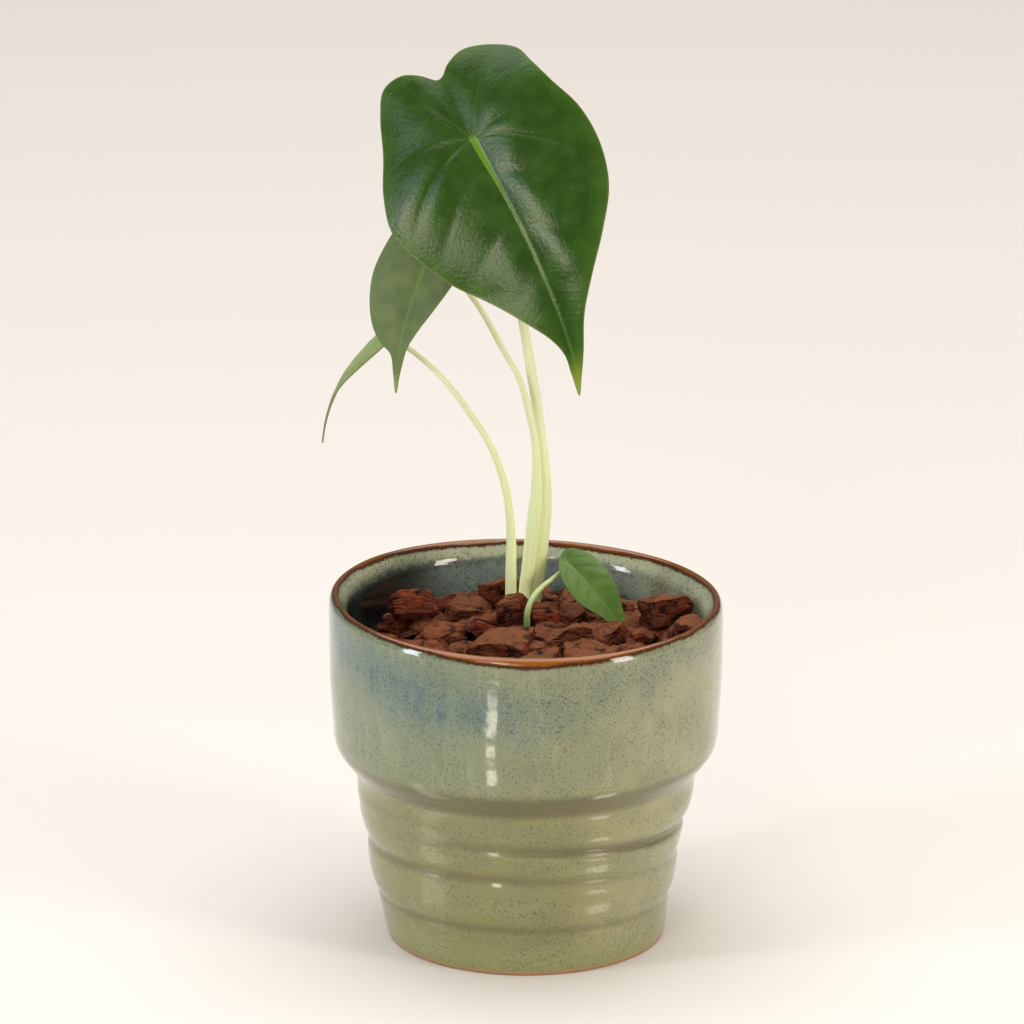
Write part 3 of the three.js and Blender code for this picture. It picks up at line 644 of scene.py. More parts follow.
    # Bare clay at the foot, dry and rough
    bare = add("Math", [grain, 0.9, height], **TIMES_PLUS)
    bare = add("MapRange", [bare, 2.3, 1.8])
    base = add("Mix", {0: bare, 6: base, 7: pot.bisque}, 2, **COLOURS)
    dull = add("MapRange", [upper, 0, 1, 0.18, 0.05])
    rough = add("Math", [grain, 0.1, dull], **TIMES_PLUS)
    rough = add("Mix", {0: bare, 2: rough, 3: 0.85})
    return finish_material(material, base, rough, ripple, 0.3, 0.5 * MM)


def bark_material(bark):
    """Broken conifer bark, as sold for orchids: dry layered cork, matt and rough.

    Red-brown where it has broken fresh, tan where it is worn, with dark fibres along each chip.
    Faces turned up are painted paler, partly as painted light, and sides and hollows darker as
    painted shade.
    """
    material, add = new_material("broken_conifer_bark", Specular_IOR_Level=0.25)
    own = add("Attribute", output="Vector", attribute_name="grain")
    tone, hollow, outer = (
        add("Attribute", output="Fac", attribute_name=name)
        for name in ("tone", "hollow", "outer_face")
    )
    along = add("VectorMath", [own, (0.45, 1, 1)], **TIMES)
    across = add("VectorMath", [own, (0.35, 0.35, 1)], **TIMES)
    fibre = add("TexNoise", {"Vector": along, "Scale": 0.9, "Detail": 8, "Roughness": 0.75})
    layers = add("TexNoise", {"Vector": across, "Scale": 0.9, "Detail": 4, "Roughness": 0.6})
    patch = add("TexNoise", {"Vector": own, "Scale": 0.2, "Detail": 5})

    fresh = add("Math", [tone, 0.35, patch], **TIMES_PLUS)
    # Faces that turn up are painted a paler tan: partly wear, partly painted light.
    worn = add("Math", [outer, 0.3, patch], **TIMES_PLUS)
    worn = add("Math", [fibre, 0.6, worn], **TIMES_PLUS)
    worn = add("Math", [tone, -0.16, worn], **TIMES_PLUS)
    # Sides that do not face up get dark bands: painted shade.
    side = add("MapRange", [outer, 0.6, 0.1, 0, 0.28])
    base = coats(
        add, bark.dark,
        (bark.red, fibre, 0.28, 0.48),
        (bark.rust, fresh, 0.66, 0.88, 0.65),
        (bark.tan, worn, 0.8, 1.05, 0.85),
        (bark.dark, layers, 0.52, 0.38, 1, [side]),
        # near black in the hollows and low between the chips: painted shade
        ("170603", hollow, 0.6, 1, 0.92, (), False),
    )
    rough = add("MapRange", [fibre, 0, 1, 0.7, 0.95])
    flake = add("TexVoronoi", {"Vector": along, "Scale": 1.1})
    height = add("Math", [fibre, 1.5, layers], **TIMES_PLUS)
    height = add("Math", [flake, 0.5, height], **TIMES_PLUS)
    return finish_material(material, base, rough, height, 0.9, 0.5 * MM)


def crumb_material(bark):
    """Damp potting mix: fine dark peat with paler flecks of bark."""
    material, add = new_material("damp_potting_mix", Specular_IOR_Level=0.3)
    place = add("TexCoord", output="Object")
    cells = add("TexVoronoi", {"Vector": place, "Scale": 1 / (1.6 * MM)})
    fine = add("TexNoise", {"Vector": place, "Scale": 1 / (2.5 * MM), "Detail": 5})
    base = coat(add, bark.mix, "4A2A1A", fine, 0.5, 0.72, eased=False)
    rough = add("MapRange", [fine, 0, 1, 0.75, 1])
    return finish_material(material, base, rough, cells, 1, 0.9 * MM)


def vein_places(add):
    """The flat place on a blade, the veins' phase, and how far the nearest side vein and the
    midrib are, in millimetres.
    """
    flat = add("Attribute", output="Vector", attribute_name="flat")
    across = add("SeparateXYZ", [flat], 1)
    phase, pitch = (
        add("Attribute", output="Fac", attribute_name=name) for name in ("vein_phase", "vein_pitch")
    )
    nearest = add("Math", [phase], operation="ROUND")
    off = add("Math", [phase, nearest], **MINUS)
    off = add("Math", [off], operation="ABSOLUTE")
    away = add("Math", [off, pitch], **TIMES)
    return flat, phase, away, add("Math", [across], operation="ABSOLUTE")


def blade_material(leaf, name, deep, dark, rib_width, spacing, polish, veins):
    """Upper side of an aroid blade: velvety green skin with a satin sheen between the veins.

    The midrib and the junction are bright yellow-green, the side veins fine and darker, with
    painted shade in the valleys along them, and the margin a thin line. rib_width and the veins'
    spacing are in millimetres, polish is the roughness of the skin, and veins the share of pale
    green in the side veins.
    """
    material, add = new_material(name, IOR=1.45)
    flat, phase, away, side = vein_places(add)
    ahead, _, progress = add("SeparateXYZ", [flat]).node.outputs
    rim = add("Attribute", output="Fac", attribute_name="rim")
    mottle = add("TexNoise", {"Vector": flat, "Scale": 1 / 9, "Detail": 5, "Roughness": 0.6})
    along_vein = add("Math", [side, 0.12], **TIMES)
    across_vein = add("Math", [phase, spacing], **TIMES)
    pleats = add("CombineXYZ", [across_vein, along_vein])
    pleat = add("TexNoise", {"Vector": pleats, "Scale": 1 / 1.6, "Detail": 3})

    # The side veins are strongest near the junction. The midrib tapers and fades to the tip.
    reach = add("VectorMath", [flat, (1, 1, 0)], **TIMES)
    reach = add("VectorMath", [reach], "Value", operation="LENGTH")
    strong = add("MapRange", [reach, 2, 6 * rib_width, 0.2 + veins, veins])
    taper = [progress, 0, 0.3, rib_width / 2, 0.3]
    taper = add("MapRange", taper, interpolation_type="SMOOTHERSTEP")
    inside = add("Math", [taper, side], **MINUS)
    begun = add("MapRange", [ahead, -rib_width * 0.9, 0], **EASED)
    fade = add("MapRange", [progress, 0.02, 0.45, 0.9, 0.28])
    base = coats(
        add, dark,
        (deep, mottle, 0.36, 0.64),
        # darker green along the side veins: painted shade in their valleys
        (dark, away, 2.6, 0.3, 0.5),
        (leaf.vein, away, 0.45, 0.1, 1, [strong]),
        ("5F8526", rim, 0.82, 1, 0.16),
        (leaf.vein, inside, -0.28, 0.12, 1, [begun, fade]),
        (leaf.tip, progress, 0.84, 0.99, 0.85),
        (leaf.edge, rim, 0.984, 0.998, 0.7, (), False),
    )
    rough = add("MapRange", [mottle, 0.3, 0.7, polish, polish + 0.1])
    skin = add("TexNoise", {"Vector": flat, "Scale": 1 / 1.3, "Detail": 4, "Roughness": 0.6})
    height = add("Math", [skin, 1.6, pleat], **TIMES_PLUS)
    return finish_material(material, base, rough, height, 0.6, 0.07 * MM)


def underside_material(leaf):
    """Underside of the blades: matt grey-green, with paler veins."""
    material, add = new_material(
        "leaf_underside", IOR=1.45, Subsurface_Weight=0.05,
        Subsurface_Radius=(0.2 * MM, 0.6 * MM, 0.1 * MM),
    )
    flat, _, away, side = vein_places(add)
    mottle = add("TexNoise", {"Vector": flat, "Scale": 1 / 5, "Detail": 5})
    base = add("Mix", {0: mottle, 6: leaf.under, 7: "5F7440"}, 2, **COLOURS)
    vein, rib = ("A3B27A", away, 0.7, 0.2, 0.5, (), False), ("B4C487", side, 1.5, 0.6, 0.8)
    base = coats(add, base, vein, rib)
    return finish_material(material, base, add("MapRange", [mottle, 0, 1, 0.55, 0.75]))


def petiole_material(stem):
    """Petiole: a juicy pale stalk, satin and a little translucent, with fine fibres along it."""
    material, add = new_material(
        "petiole_skin", IOR=1.4, Subsurface_Weight=0.25,
        Subsurface_Radius=(1.2 * MM, 1.5 * MM, 0.6 * MM), Subsurface_Scale=1,
    )
    straight = add("Attribute", output="Vector", attribute_name="straight")
    across, _, height = add("SeparateXYZ", [straight]).node.outputs
    pulled = add("VectorMath", [straight, (1, 1, 0.02)], **TIMES)
    fibre = add("TexNoise", {"Vector": pulled, "Scale": 1 / 0.6, "Detail": 3})
    mottle = add("TexNoise", {"Vector": straight, "Scale": 1 / 6, "Detail": 3})
    # The youngest petiole, which lies apart in these places, is greener, most of all at its foot.
    fresh = add("MapRange", [height, 106, 117, 0.9, 0.4])
    base = coats(
        add, stem.pale,
        (stem.cream, height, 150, 180),
        # paler towards the bark: painted light, making up for the pot's shade and for light through
        # the stalks
        ("F4FFC2", height, 150, 118),
        (stem.line, fibre, 0.5, 0.72, 0.4, (), False),
        (stem.line, mottle, 0.45, 0.75, 0.22, (), False),
        ("6E9440", across, 21, 23, 1, [fresh], False),
    )
    rough = add("MapRange", [fibre, 0, 1, 0.38, 0.55])
    return finish_material(material, base, rough, fibre, 0.5, 0.12 * MM)


def corm_material():
    """Corm: rough brown skin with rings of old leaf scars."""
    material, add = new_material("corm_skin", Specular_IOR_Level=0.3)
    place = add("TexCoord", output="Object")
    wave = {"Vector": place, "Scale": 1 / (9 * MM), "Distortion": 3, "Detail": 3}
    rings = add("TexWave", wave, "Fac", bands_direction="Z")
    base = add("Mix", {0: rings, 6: "5B4028", 7: "94714A"}, 2, **COLOURS)
    rough = add("MapRange", [rings, 0, 1, 0.7, 0.95])
    return finish_material(material, base, rough, rings, 0.6, 0.5 * MM)


# Pot


def lathe(name, profile, steps):
    """One vertex is extruded along the profile and the line is spun round Z, in metres."""
    piece = primitive("plane", name, size=MM)
    bpy.ops.object.mode_set(mode="EDIT")
    bpy.ops.mesh.merge(type="CENTER")
    here = np.zeros(3)
    for number, (radius, height) in enumerate(profile):
        there = np.array([radius, 0, height])
        if number == 0:
            bpy.ops.transform.translate(value=there - here)
        else:
            bpy.ops.mesh.extrude_region_move(TRANSFORM_OT_translate={"value": there - here})
        here = there
    bpy.ops.mesh.select_all(action="SELECT")
    bpy.ops.mesh.spin(steps=steps, angle=2 * math.pi, center=(0, 0, 0), axis=(0, 0, 1))
    bpy.ops.mesh.select_all(action="SELECT")
    bpy.ops.mesh.remove_doubles(threshold=0.01 * MM)
    bpy.ops.mesh.normals_make_consistent(inside=False)
    bpy.ops.object.mode_set(mode="OBJECT")
    return piece


def groove_depth(azimuth, height):
    to_right = np.sin(azimuth)
    depth = 0
    for groove in GROOVES:
        centre = groove["height"] - groove["fall"] * to_right * (1 + to_right) * 0.5
        on_left, on_right = groove["shares"]
        share = on_left + (on_right - on_left) * (1 + to_right) / 2
        half = np.where(height > centre, groove["above"], groove["below"])
        depth = depth + groove["depth"] * share * np.exp(-((height - centre) / half) ** 2)
    return depth


def step_depth(azimuth, height):
    """Narrow steps right of the front, steep below and drawn out above."""
    window = np.exp(-((np.degrees(azimuth) - STEP_AZIMUTH) / STEP_SPREAD) ** 2)
    depth = 0
    for centre, deep, reach in STEPS:
        half = np.where(height > centre, STEP_TOP_REACH, reach)
        depth = depth + deep * window * np.exp(-((height - centre) / half) ** 2)
    return depth


def make_pot(pot):
    profile = even_path(FOOT + OUTER_WALL + INNER_WALL, pot.row_step / MM)
    profile[:, 1] = np.maximum(profile[:, 1], 0)
    profile[[0, -1], 0] = 0
    piece = lathe("glazed_pot", profile * MM, pot.sides)

    # Each vertex learns how far along the wall it lies from the top of the lip.
    spans = np.linalg.norm(np.diff(profile, axis=0), axis=1)
    walked = np.concatenate([[0], np.cumsum(spans)])
    crest = int(np.argmax(profile[:, 1]))
    points = points_of(piece) / MM
    radius = np.hypot(points[:, 0], points[:, 1])
    height = points[:, 2]
    gap = np.abs(radius[:, None] - profile[:, 0]) + np.abs(height[:, None] - profile[:, 1])
    row = gap.argmin(axis=1)
    from_lip = walked[crest] - walked[row]
    outside = from_lip > 0

    azimuth = np.arctan2(points[:, 0], -points[:, 1])
    groove = np.where(outside & (height > 0.1), groove_depth(azimuth, height), 0)
    steps = np.where(outside & (height > 0.1), step_depth(azimuth, height), 0)
    # The band under the shoulder is darkened like a groove in the glaze's colour: painted shade.
    painted_overhang_shade = np.where(outside, smooth_step(56, 61, height) * smooth_step(70, 65, height), 0)
    hand = np.array([noise.noise(Vector(p) * HAND_SCALE) for p in points])
    ripple = pot.ripple / MM * hand * smooth_step(1, 8, height)
    scale = (radius - groove - steps + ripple) / np.maximum(radius, 1e-6)
    lean = BODY_LEAN * np.sin(np.pi * np.clip(height / LEAN_TOP, 0, 1))
    lift = -LIP_TILT * np.sin(azimuth) - LIP_BACK * np.cos(azimuth)
    lift = lift + LIP_WAVE * np.cos(2 * azimuth - math.radians(LIP_WAVE_TURN))
    points[:, 0] = points[:, 0] * scale + lean
    points[:, 1] *= scale
    points[:, 2] += lift * smooth_step(MIX_TOP + 2, POT_HEIGHT - 3, height)
    place_points(piece, points * MM)
    store(piece, "from_lip", from_lip)
    # The groove share carries the glaze pooled in the grooves and the painted shade under the
    # shoulder.
    store(piece, "groove", groove + 1.4 * painted_overhang_shade)
    smooth_shading(piece, 60)
    hand_over(piece, [glaze_material(pot)], ["pot"])


# Bark


def random_source(seed):
    """The same linear congruential draws as the solids use."""
    state = seed
    while True:
        state = (state * 1664525 + 1013904223) % 2 ** 32
        yield state / 2 ** 32


def bark_top(x, y):
    away = math.hypot(x - CROWN[0], y - CROWN[1])
    crown = (BARK_CROWN_TOP - BARK_EDGE_TOP) * (1 - smooth_step(8, 50, away))
    right = BARK_RIGHT_RISE * smooth_step(10, 48, x)
    left = BARK_LEFT_FALL * smooth_step(15, 50, -x)
    return BARK_EDGE_TOP + crown + right - left


def chip_corners(draws, length, width, height):
    """The eight shaken corners of a chip, in millimetres, and its ridge."""
    corners = {}
    for end in (-1, 1):
        for side in (-1, 1):
            for face in (-1, 1):
                taper = 0.72 + 0.28 * next(draws)
                x = end * (length / 2) * (0.8 + 0.2 * next(draws))
                z = face * (height / 2) * (0.7 + 0.3 * next(draws))
                corners[end, side, face] = Vector((x, side * (width / 2) * taper, z))
    ridge = Vector(((next(draws) - 0.5) * length * 0.5, 0, height * 0.62))
    return corners, ridge


def chip_plan():
    """Every chip as its corners, ridge, place, turn and whether the front view picks it out."""
    draws = random_source(CHIP_SEED)
    plan = []
    for x, y, z, length, width, height, turn, tilt in FEATURE_CHIPS:
        corners, ridge = chip_corners(draws, length, width, height)
        pose = Euler((math.radians(tilt), 0, math.radians(turn)))
        plan.append((corners, ridge, Vector((x, y, z - 2)), pose, True))
    for row, count in enumerate(CHIP_ROWS):
        for i in range(count):
            angle = (i + 0.6 * next(draws)) / count * 2 * math.pi
            radius = min(row * CHIP_ROW_STEP + (next(draws) - 0.5) * 5, CHIP_REACH)
            length = CHIP_LENGTH * (0.65 + 0.55 * next(draws))
            width = length * (0.5 + 0.25 * next(draws))
            height = length * (0.34 + 0.2 * next(draws))
            corners, ridge = chip_corners(draws, length, width, height)
            x, y = radius * math.cos(angle), radius * math.sin(angle)
            turn = next(draws) * 2 * math.pi
            tilt = (next(draws) - 0.5) * 0.9
            pitch = (next(draws) - 0.5) * 0.7
            place = Vector((x, y, bark_top(x, y) - 2.1))
            plan.append((corners, ridge, place, Euler((tilt, pitch, turn)), False))
    # One more chip, set against the foot of the stoutest petiole.
    corners, ridge = chip_corners(draws, 13, 8, 9)
    plan.append((corners, ridge, Vector((5.2, 9.4, 105.8)), Euler((0.1, 0.1, 0.3)), True))
    return plan


def own_place(seed):
    """Sets each chip in another part of the noise."""
    return Vector((37.1 * seed, 11.3 * seed, 5.7 * seed))


def broken_surface(local, upright, seed, bark):
    """How far a chip's skin stands out at a local point, in millimetres, and how hollow it is.

    The cork breaks into small plates, and along its layers ledges show where it is upright.
    """
    p = local + own_place(seed)
    coarse = noise.fractal(p * 0.2, 0.7, 2.1, 5)
    plates = Vector((p.x * 0.14, p.y * 0.24, p.z * 0.38)) + 0.3 * noise.noise_vector(p * 0.3)
    gaps, centres = noise.voronoi(plates)
    facing = noise.noise_vector(centres[0] * 7.3)
    plate = 0.9 * noise.noise(centres[0] * 5.1) + 1.1 * (plates - centres[0]).dot(facing)
    seam = max(0, 1 - (gaps[1] - gaps[0]) / 0.12)
    wander = noise.noise(p * 0.14) * 1.8
    layer = (local.z + wander) / (bark.layer / MM)
    step = layer - math.floor(layer)
    ledge = 1 - min(step / 0.3, 1) * min((1 - step) / 0.15, 1)
    ledge *= upright * (0.5 + noise.noise(p * 0.3))
    out = bark.relief / MM * (0.55 * coarse + 0.75 * plate) - 0.5 * ledge - 0.25 * seam
    # The hollow share paints the recesses darker: painted shade.
    return out, max(0, min(1, 0.3 - 0.8 * coarse - 0.5 * plate + 0.6 * ledge + 0.5 * seam))


def make_chip(corners, ridge, place, pose, cuts, seed, bark):
    """A cube takes the chip's corners, is cut fine, rounded, split along planes and broken up."""
    piece = primitive("cube", f"chip_{seed}", size=2)
    for vertex in piece.data.vertices:
        vertex.co = corners[tuple(round(c) for c in vertex.co)]
    bpy.ops.object.mode_set(mode="EDIT")
    bpy.ops.mesh.subdivide(number_cuts=cuts)
    bpy.ops.mesh.vertices_smooth(factor=0.5, repeat=1)
    bpy.ops.object.mode_set(mode="OBJECT")
    draws = random_source(CHIP_SEED + 7 * seed)
    shift = own_place(seed)
    middle = sum(corners.values(), Vector()) / 8
    top = max(c.z for c in corners.values())
    splits = []
    for _ in range(SPLITS):
        facing = Vector([next(draws) - 0.5 for _ in range(3)]).normalized()
        reach = max(corner.dot(facing) for corner in corners.values())
        splits.append((facing, reach * (0.6 + 0.25 * next(draws))))
    moved, grains, hollows, tops = [], [], [], []
    for vertex in piece.data.vertices:
        local = vertex.co.copy()
        near_ridge = max(0, 1 - (local - ridge).length / (0.55 * (ridge - middle).length + 5))
        lift = (ridge.z - top) * near_ridge ** 2 * (1 if local.z > middle.z else 0)
        for facing, reach in splits:
            over = local.dot(facing) - reach
            if over > 0:
                local = local - facing * over * SPLIT_SHARE
        bent = local + 1.3 * noise.noise_vector((local + shift) * 0.11) + Vector((0, 0, lift))
        upright = 1 - abs(vertex.normal.z)
        out, hollow = broken_surface(local, upright, seed, bark)
        moved.append(bent + vertex.normal * out)
        grains.append(local + shift)
        hollows.append(hollow)
        tops.append(max(0, vertex.normal.z))
    matrix = Matrix.Translation(place) @ pose.to_matrix().to_4x4()
    moved = [matrix @ point for point in moved]
    # Near-black painted shade gathers low between the chips.
    low = [(bark_top(point.x, point.y) + 0.6 - point.z) / DIRT_REACH for point in moved]
    place_points(piece, [point * MM for point in moved])
    store(piece, "grain", grains)
    store(piece, "hollow", np.clip(np.maximum(hollows, low), 0, 1))
    # How much a face turns up: the bark is painted paler there and darker on its sides, as painted
    # light and shade.
    store(piece, "outer_face", tops)
    store(piece, "tone", [(seed * 0.618) % 1] * len(moved))
    return piece


def make_crumbs(bark):
    """Splinters and crumbs between the chips: one rough grain, copied, stretched and turned."""
    draws = random_source(CHIP_SEED + 1)
    grain = primitive("ico_sphere", "bark_crumbs", subdivisions=2, radius=1)
    shape = points_of(grain)
    faces = [list(face.vertices) for face in grain.data.polygons]
    places, sides, grains, tones = [], [], [], []
    for number in range(bark.crumbs):
        angle = 2 * math.pi * next(draws)
        radius = CRUMB_EDGE * math.sqrt(next(draws))
        x, y = radius * math.cos(angle), radius * math.sin(angle)
        reach = 1.0 + 2.2 * next(draws) ** 2
        stretch = np.array([reach * (1 + 1.4 * next(draws)), reach * 0.75, reach * 0.35])
        pose = Euler((next(draws) - 0.5, next(draws) - 0.5, 6.3 * next(draws))).to_matrix()
        own = []
        for p in shape:
            push = 1 + 0.5 * noise.noise(Vector(p) * 1.7 + Vector((number * 3.1, 0, 0)))
            own.append(np.sign(p) * np.abs(p) ** 0.6 * push)
        own = np.array(own) * stretch
        z = bark_top(x, y) - 1.8 + 2.4 * next(draws)
        first = len(places)
        places.extend(own @ np.array(pose.transposed()) + (x, y, z))
        sides.extend([[first + i for i in face] for face in faces])
        grains.extend(own + 13.7 * number)
        tones.extend([(number * 0.618) % 1] * len(own))
    mesh = bpy.data.meshes.new("bark_crumbs")
    mesh.from_pydata([Vector(p) * MM for p in places], [], sides)
    old = grain.data
    grain.data = mesh
    bpy.data.meshes.remove(old)
    store(grain, "grain", grains)
    store(grain, "tone", tones)
    # The crumbs count as hollow, which paints them darker: painted shade.
    store(grain, "hollow", [CRUMB_PAINTED_SHADE] * len(places))
    store(grain, "outer_face", [0.3] * len(places))
    return grain


def make_bed():
    """The bed of fine broken bark that the chips lie on, roughened."""
    piece = ringed_disc("bark_bed", 160, BED_RINGS, BED_EDGE * MM)
    points = points_of(piece) / MM
    for point in points:
        rough = noise.fractal(Vector((point[0], point[1], 3.3)) * 0.22, 0.8, 2.1, 4)
        point[2] = max(bark_top(point[0], point[1]) - BED_DROP + 1.2 * rough, MIX_TOP + 1)
    place_points(piece, points * MM)
    solid = piece.modifiers.new("depth", "SOLIDIFY")
    solid.thickness = 0.8 * MM
    solid.offset = -1
    apply_modifiers(piece)
    return piece


def make_bark(bark):
    noise.seed_set(CHIP_SEED)  # noise vectors would otherwise differ from run to run
    groups = {True: [], False: []}
    for seed, (corners, ridge, place, pose, picked) in enumerate(chip_plan(), 1):
        cuts = bark.feature_cuts if picked else bark.loose_cuts
        groups[picked].append(make_chip(corners, ridge, place, pose, cuts, seed, bark))
    material = bark_material(bark)
    for picked, name in ((True, "bark_chips_picked_out"), (False, "bark_chips_loose")):
        piece = join(groups[picked], name)
        smooth_shading(piece, 34)
        hand_over(piece, [material], ["bark_chips"])
    crumbs = make_crumbs(bark)
    hand_over(crumbs, [material], ["bark_chips"])
    bed = make_bed()
    smooth_shading(bed, 60)
    hand_over(bed, [crumb_material(bark)], ["bark_chips"])


# Leaves


def blade_axes(leaf):
    """Directions along the midrib, across it and out of the upper face."""
    heading, dip, roll = (math.radians(leaf[key]) for key in ("heading", "dip", "roll"))
    along = Vector((
        math.cos(heading) * math.cos(dip), math.sin(heading) * math.cos(dip), -math.sin(dip),
    ))
    level = Vector((0, 0, 1)).cross(along).normalized()
    face = along.cross(level) * math.cos(roll) + level * math.sin(roll)
    return np.array(along), np.array(face.cross(along)), np.array(face)


def blade_points(leaf, s, t, lift):
    """Points of the blade in millimetres from flat places (s, t), raised by lift."""
    along, across, face = blade_axes(leaf)
    reach, half = leaf["length"], leaf["half"]
    bend = np.where(s >= 0, math.radians(leaf["bend_tip"]), math.radians(leaf["bend_lobe"])) / reach
    angle = bend * s
    safe = np.where(np.abs(angle) < 1e-9, 1, angle)
    spine = np.where(np.abs(angle) < 1e-9, s, s * np.sin(safe) / safe)
    back = np.where(np.abs(angle) < 1e-9, 0, s * (1 - np.cos(safe)) / safe)
    normal = np.sin(angle)[:, None] * along + np.cos(angle)[:, None] * face
    edge = np.minimum((s * s + t * t) / half ** 2, 2)
    polar = np.arctan2(t, s)
    height = (
        math.tan(math.radians(leaf["fold"])) * (np.hypot(t, 1) - 1)
        - leaf["droop"] * t * t / (2 * half)
        + leaf["wave"] * edge * np.sin(leaf["waves"] * polar + leaf["phase"])
    )
    sway = np.where(s > 0, leaf["sway"] * (np.abs(s) / reach) ** 3, 0)
    return (
        np.array(leaf["junction"])
        + spine[:, None] * along
        - back[:, None] * face
        + (t + sway)[:, None] * across
        + (height + lift)[:, None] * normal
    )


def vein_field(leaf, s, t):
    """A smooth phase that is whole at each side vein, and the spacing there in millimetres.

    Ahead of the junction the veins leave the midrib at even steps and curve towards the tip.
    Behind it they fan out from the junction into the lobes.
    """
    spacing, first_left, first_right = leaf["veins"]
    side = np.abs(t)
    ahead = s - 0.3 * side - 0.65 * side ** 2 / leaf["half"]
    turned = np.arctan2(-ahead, side)
    phase = np.where(ahead >= 0, ahead / spacing, -turned / FAN_STEP)
    pitch = np.where(ahead >= 0, spacing, np.maximum(np.hypot(ahead, side) * FAN_STEP, 0.6))
    return phase - np.where(t < 0, first_left, first_right), pitch


def make_blade(number, leaf_settings, materials):
    leaf = LEAVES[number]
    around, rings = leaf["grid"]
    piece = ringed_disc(f"velvet_blade_{number + 1}", around, rings, 1)
    disc = points_of(piece)
    share = np.round(np.hypot(disc[:, 0], disc[:, 1]) * rings) / rings
    turn = np.round(np.arctan2(disc[:, 1], disc[:, 0]) / (2 * math.pi) * around).astype(int)
    outline = smooth_path(leaf["outline"], around, closed=True)[turn % around]
    s, t = (outline * share[:, None]).T
    phase, pitch = vein_field(leaf, s, t)

    rib_wide = leaf["rib"]
    gap = np.abs(phase - np.round(phase)) * 2
    small = leaf["half"] / 36
    swell = gap * (2 - gap) * smooth_step(0, 9 * small, np.abs(t)) * (1 - share ** 3)
    swell *= smooth_step(0, 14 * small, np.hypot(s, t))
    pillow = leaf_settings.pillow / MM * small ** 0.6 * swell
    channel = np.exp(-(t / (rib_wide * 0.6)) ** 2) * smooth_step(-4 * small, 3 * small, s)
    ridge = np.exp(-(t / (rib_wide * 0.25)) ** 2) * smooth_step(-3 * small, 2 * small, s)
    taper = np.clip(1 - s / leaf["length"], 0.1, 1)
    depth = leaf_settings.channel / MM * small ** 0.4
    lift = pillow - depth * channel * taper + 0.55 * depth * ridge * taper
    place_points(piece, blade_points(leaf, s, t, lift + 0.2) * MM)

    # The blade is thick along the midrib and thins to its margin.
    group = piece.vertex_groups.new(name="stout")
    stout = np.exp(-(t / rib_wide) ** 2) * taper * smooth_step(-6 * small, 0, s)
    for index, weight in enumerate(stout):
        group.add([index], float(weight), "REPLACE")
    store(piece, "flat", np.stack([s, t, np.clip(s / leaf["length"], 0, 1)], axis=1))
    store(piece, "vein_phase", phase)
    store(piece, "vein_pitch", pitch)
    store(piece, "rim", share)
    solid = piece.modifiers.new("thickness", "SOLIDIFY")
    solid.thickness = leaf_settings.thickness + 1.3 * MM * small
    solid.vertex_group = group.name
    solid.thickness_vertex_group = leaf_settings.thickness / solid.thickness
    solid.offset = -1
    solid.material_offset = 1
    solid.material_offset_rim = 0
    apply_modifiers(piece)
    piece.vertex_groups.clear()
    smooth_shading(piece, 50)
    hand_over(piece, materials, [f"leaf_{number + 1}_blade"])


def make_petiole(number, stem, material):
    """A cylinder cut along its length and laid along the stations, then trimmed at both ends."""
    piece = primitive(
        "cylinder", f"pale_petiole_{number + 1}", vertices=stem.sides, radius=1, depth=1,
        end_fill_type="NGON",
    )
    bpy.ops.object.mode_set(mode="EDIT")
    bpy.ops.mesh.select_mode(type="EDGE")
    bpy.ops.mesh.select_all(action="DESELECT")
    edit = bmesh.from_edit_mesh(piece.data)
    for edge in edit.edges:
        low, high = (vertex.co.z for vertex in edge.verts)
        edge.select = abs(high - low) > 0.5
    bmesh.update_edit_mesh(piece.data)
    bpy.ops.mesh.subdivide(number_cuts=stem.rows - 1)
    bpy.ops.object.mode_set(mode="OBJECT")

    # The path ends on the blade's underside.
    leaf = LEAVES[number]
    face = blade_axes(leaf)[2]
    path = smooth_path(PETIOLES[number], 1200)
    above = (path[:, :3] - np.array(leaf["junction"])) @ face
    last = np.argmax(above > -0.7) if np.any(above > -0.7) else len(path)
    path = path[:last]
    points = points_of(piece)
    share = (points[:, 2] + 0.5) * (len(path) - 1)
    row = np.clip(share.round().astype(int), 0, len(path) - 1)
    ahead = np.gradient(path[:, :3], axis=0)
    ahead /= np.linalg.norm(ahead, axis=1)[:, None]
    side = np.cross(ahead, (0, -1, 0))
    side /= np.linalg.norm(side, axis=1)[:, None]
    near = np.cross(side, ahead)
    turn = np.arctan2(points[:, 1], points[:, 0])
    rib = stem.rib / MM * np.cos(11 * turn + 0.6 * np.sin(row * 0.004))
    reach = np.hypot(points[:, 0], points[:, 1])
    half_width = path[row, 3] / 2 + rib
    half_depth = path[row, 4] / 2 + rib
    right = (points[:, 0] * half_width)[:, None]
    out = (points[:, 1] * half_depth)[:, None]
    placed = path[row, :3] + side[row] * right + near[row] * out
    place_points(piece, placed * MM)
    straight = np.stack([
        np.cos(turn) * reach * path[row, 3] / 2 + 9 * number,
        np.sin(turn) * reach * path[row, 4] / 2,
        placed[:, 2],
    ], axis=1)
    store(piece, "straight", straight)
    bpy.ops.object.mode_set(mode="EDIT")
    bpy.ops.mesh.select_all(action="SELECT")
    bpy.ops.mesh.bisect(
        plane_co=(0, 0, (MIX_TOP + 0.3) * MM), plane_no=(0, 0, 1), clear_inner=True, use_fill=True,
    )
    bpy.ops.object.mode_set(mode="OBJECT")
    smooth_shading(piece, 60)
    hand_over(piece, [material], [f"leaf_{number + 1}_petiole"])


# Stage


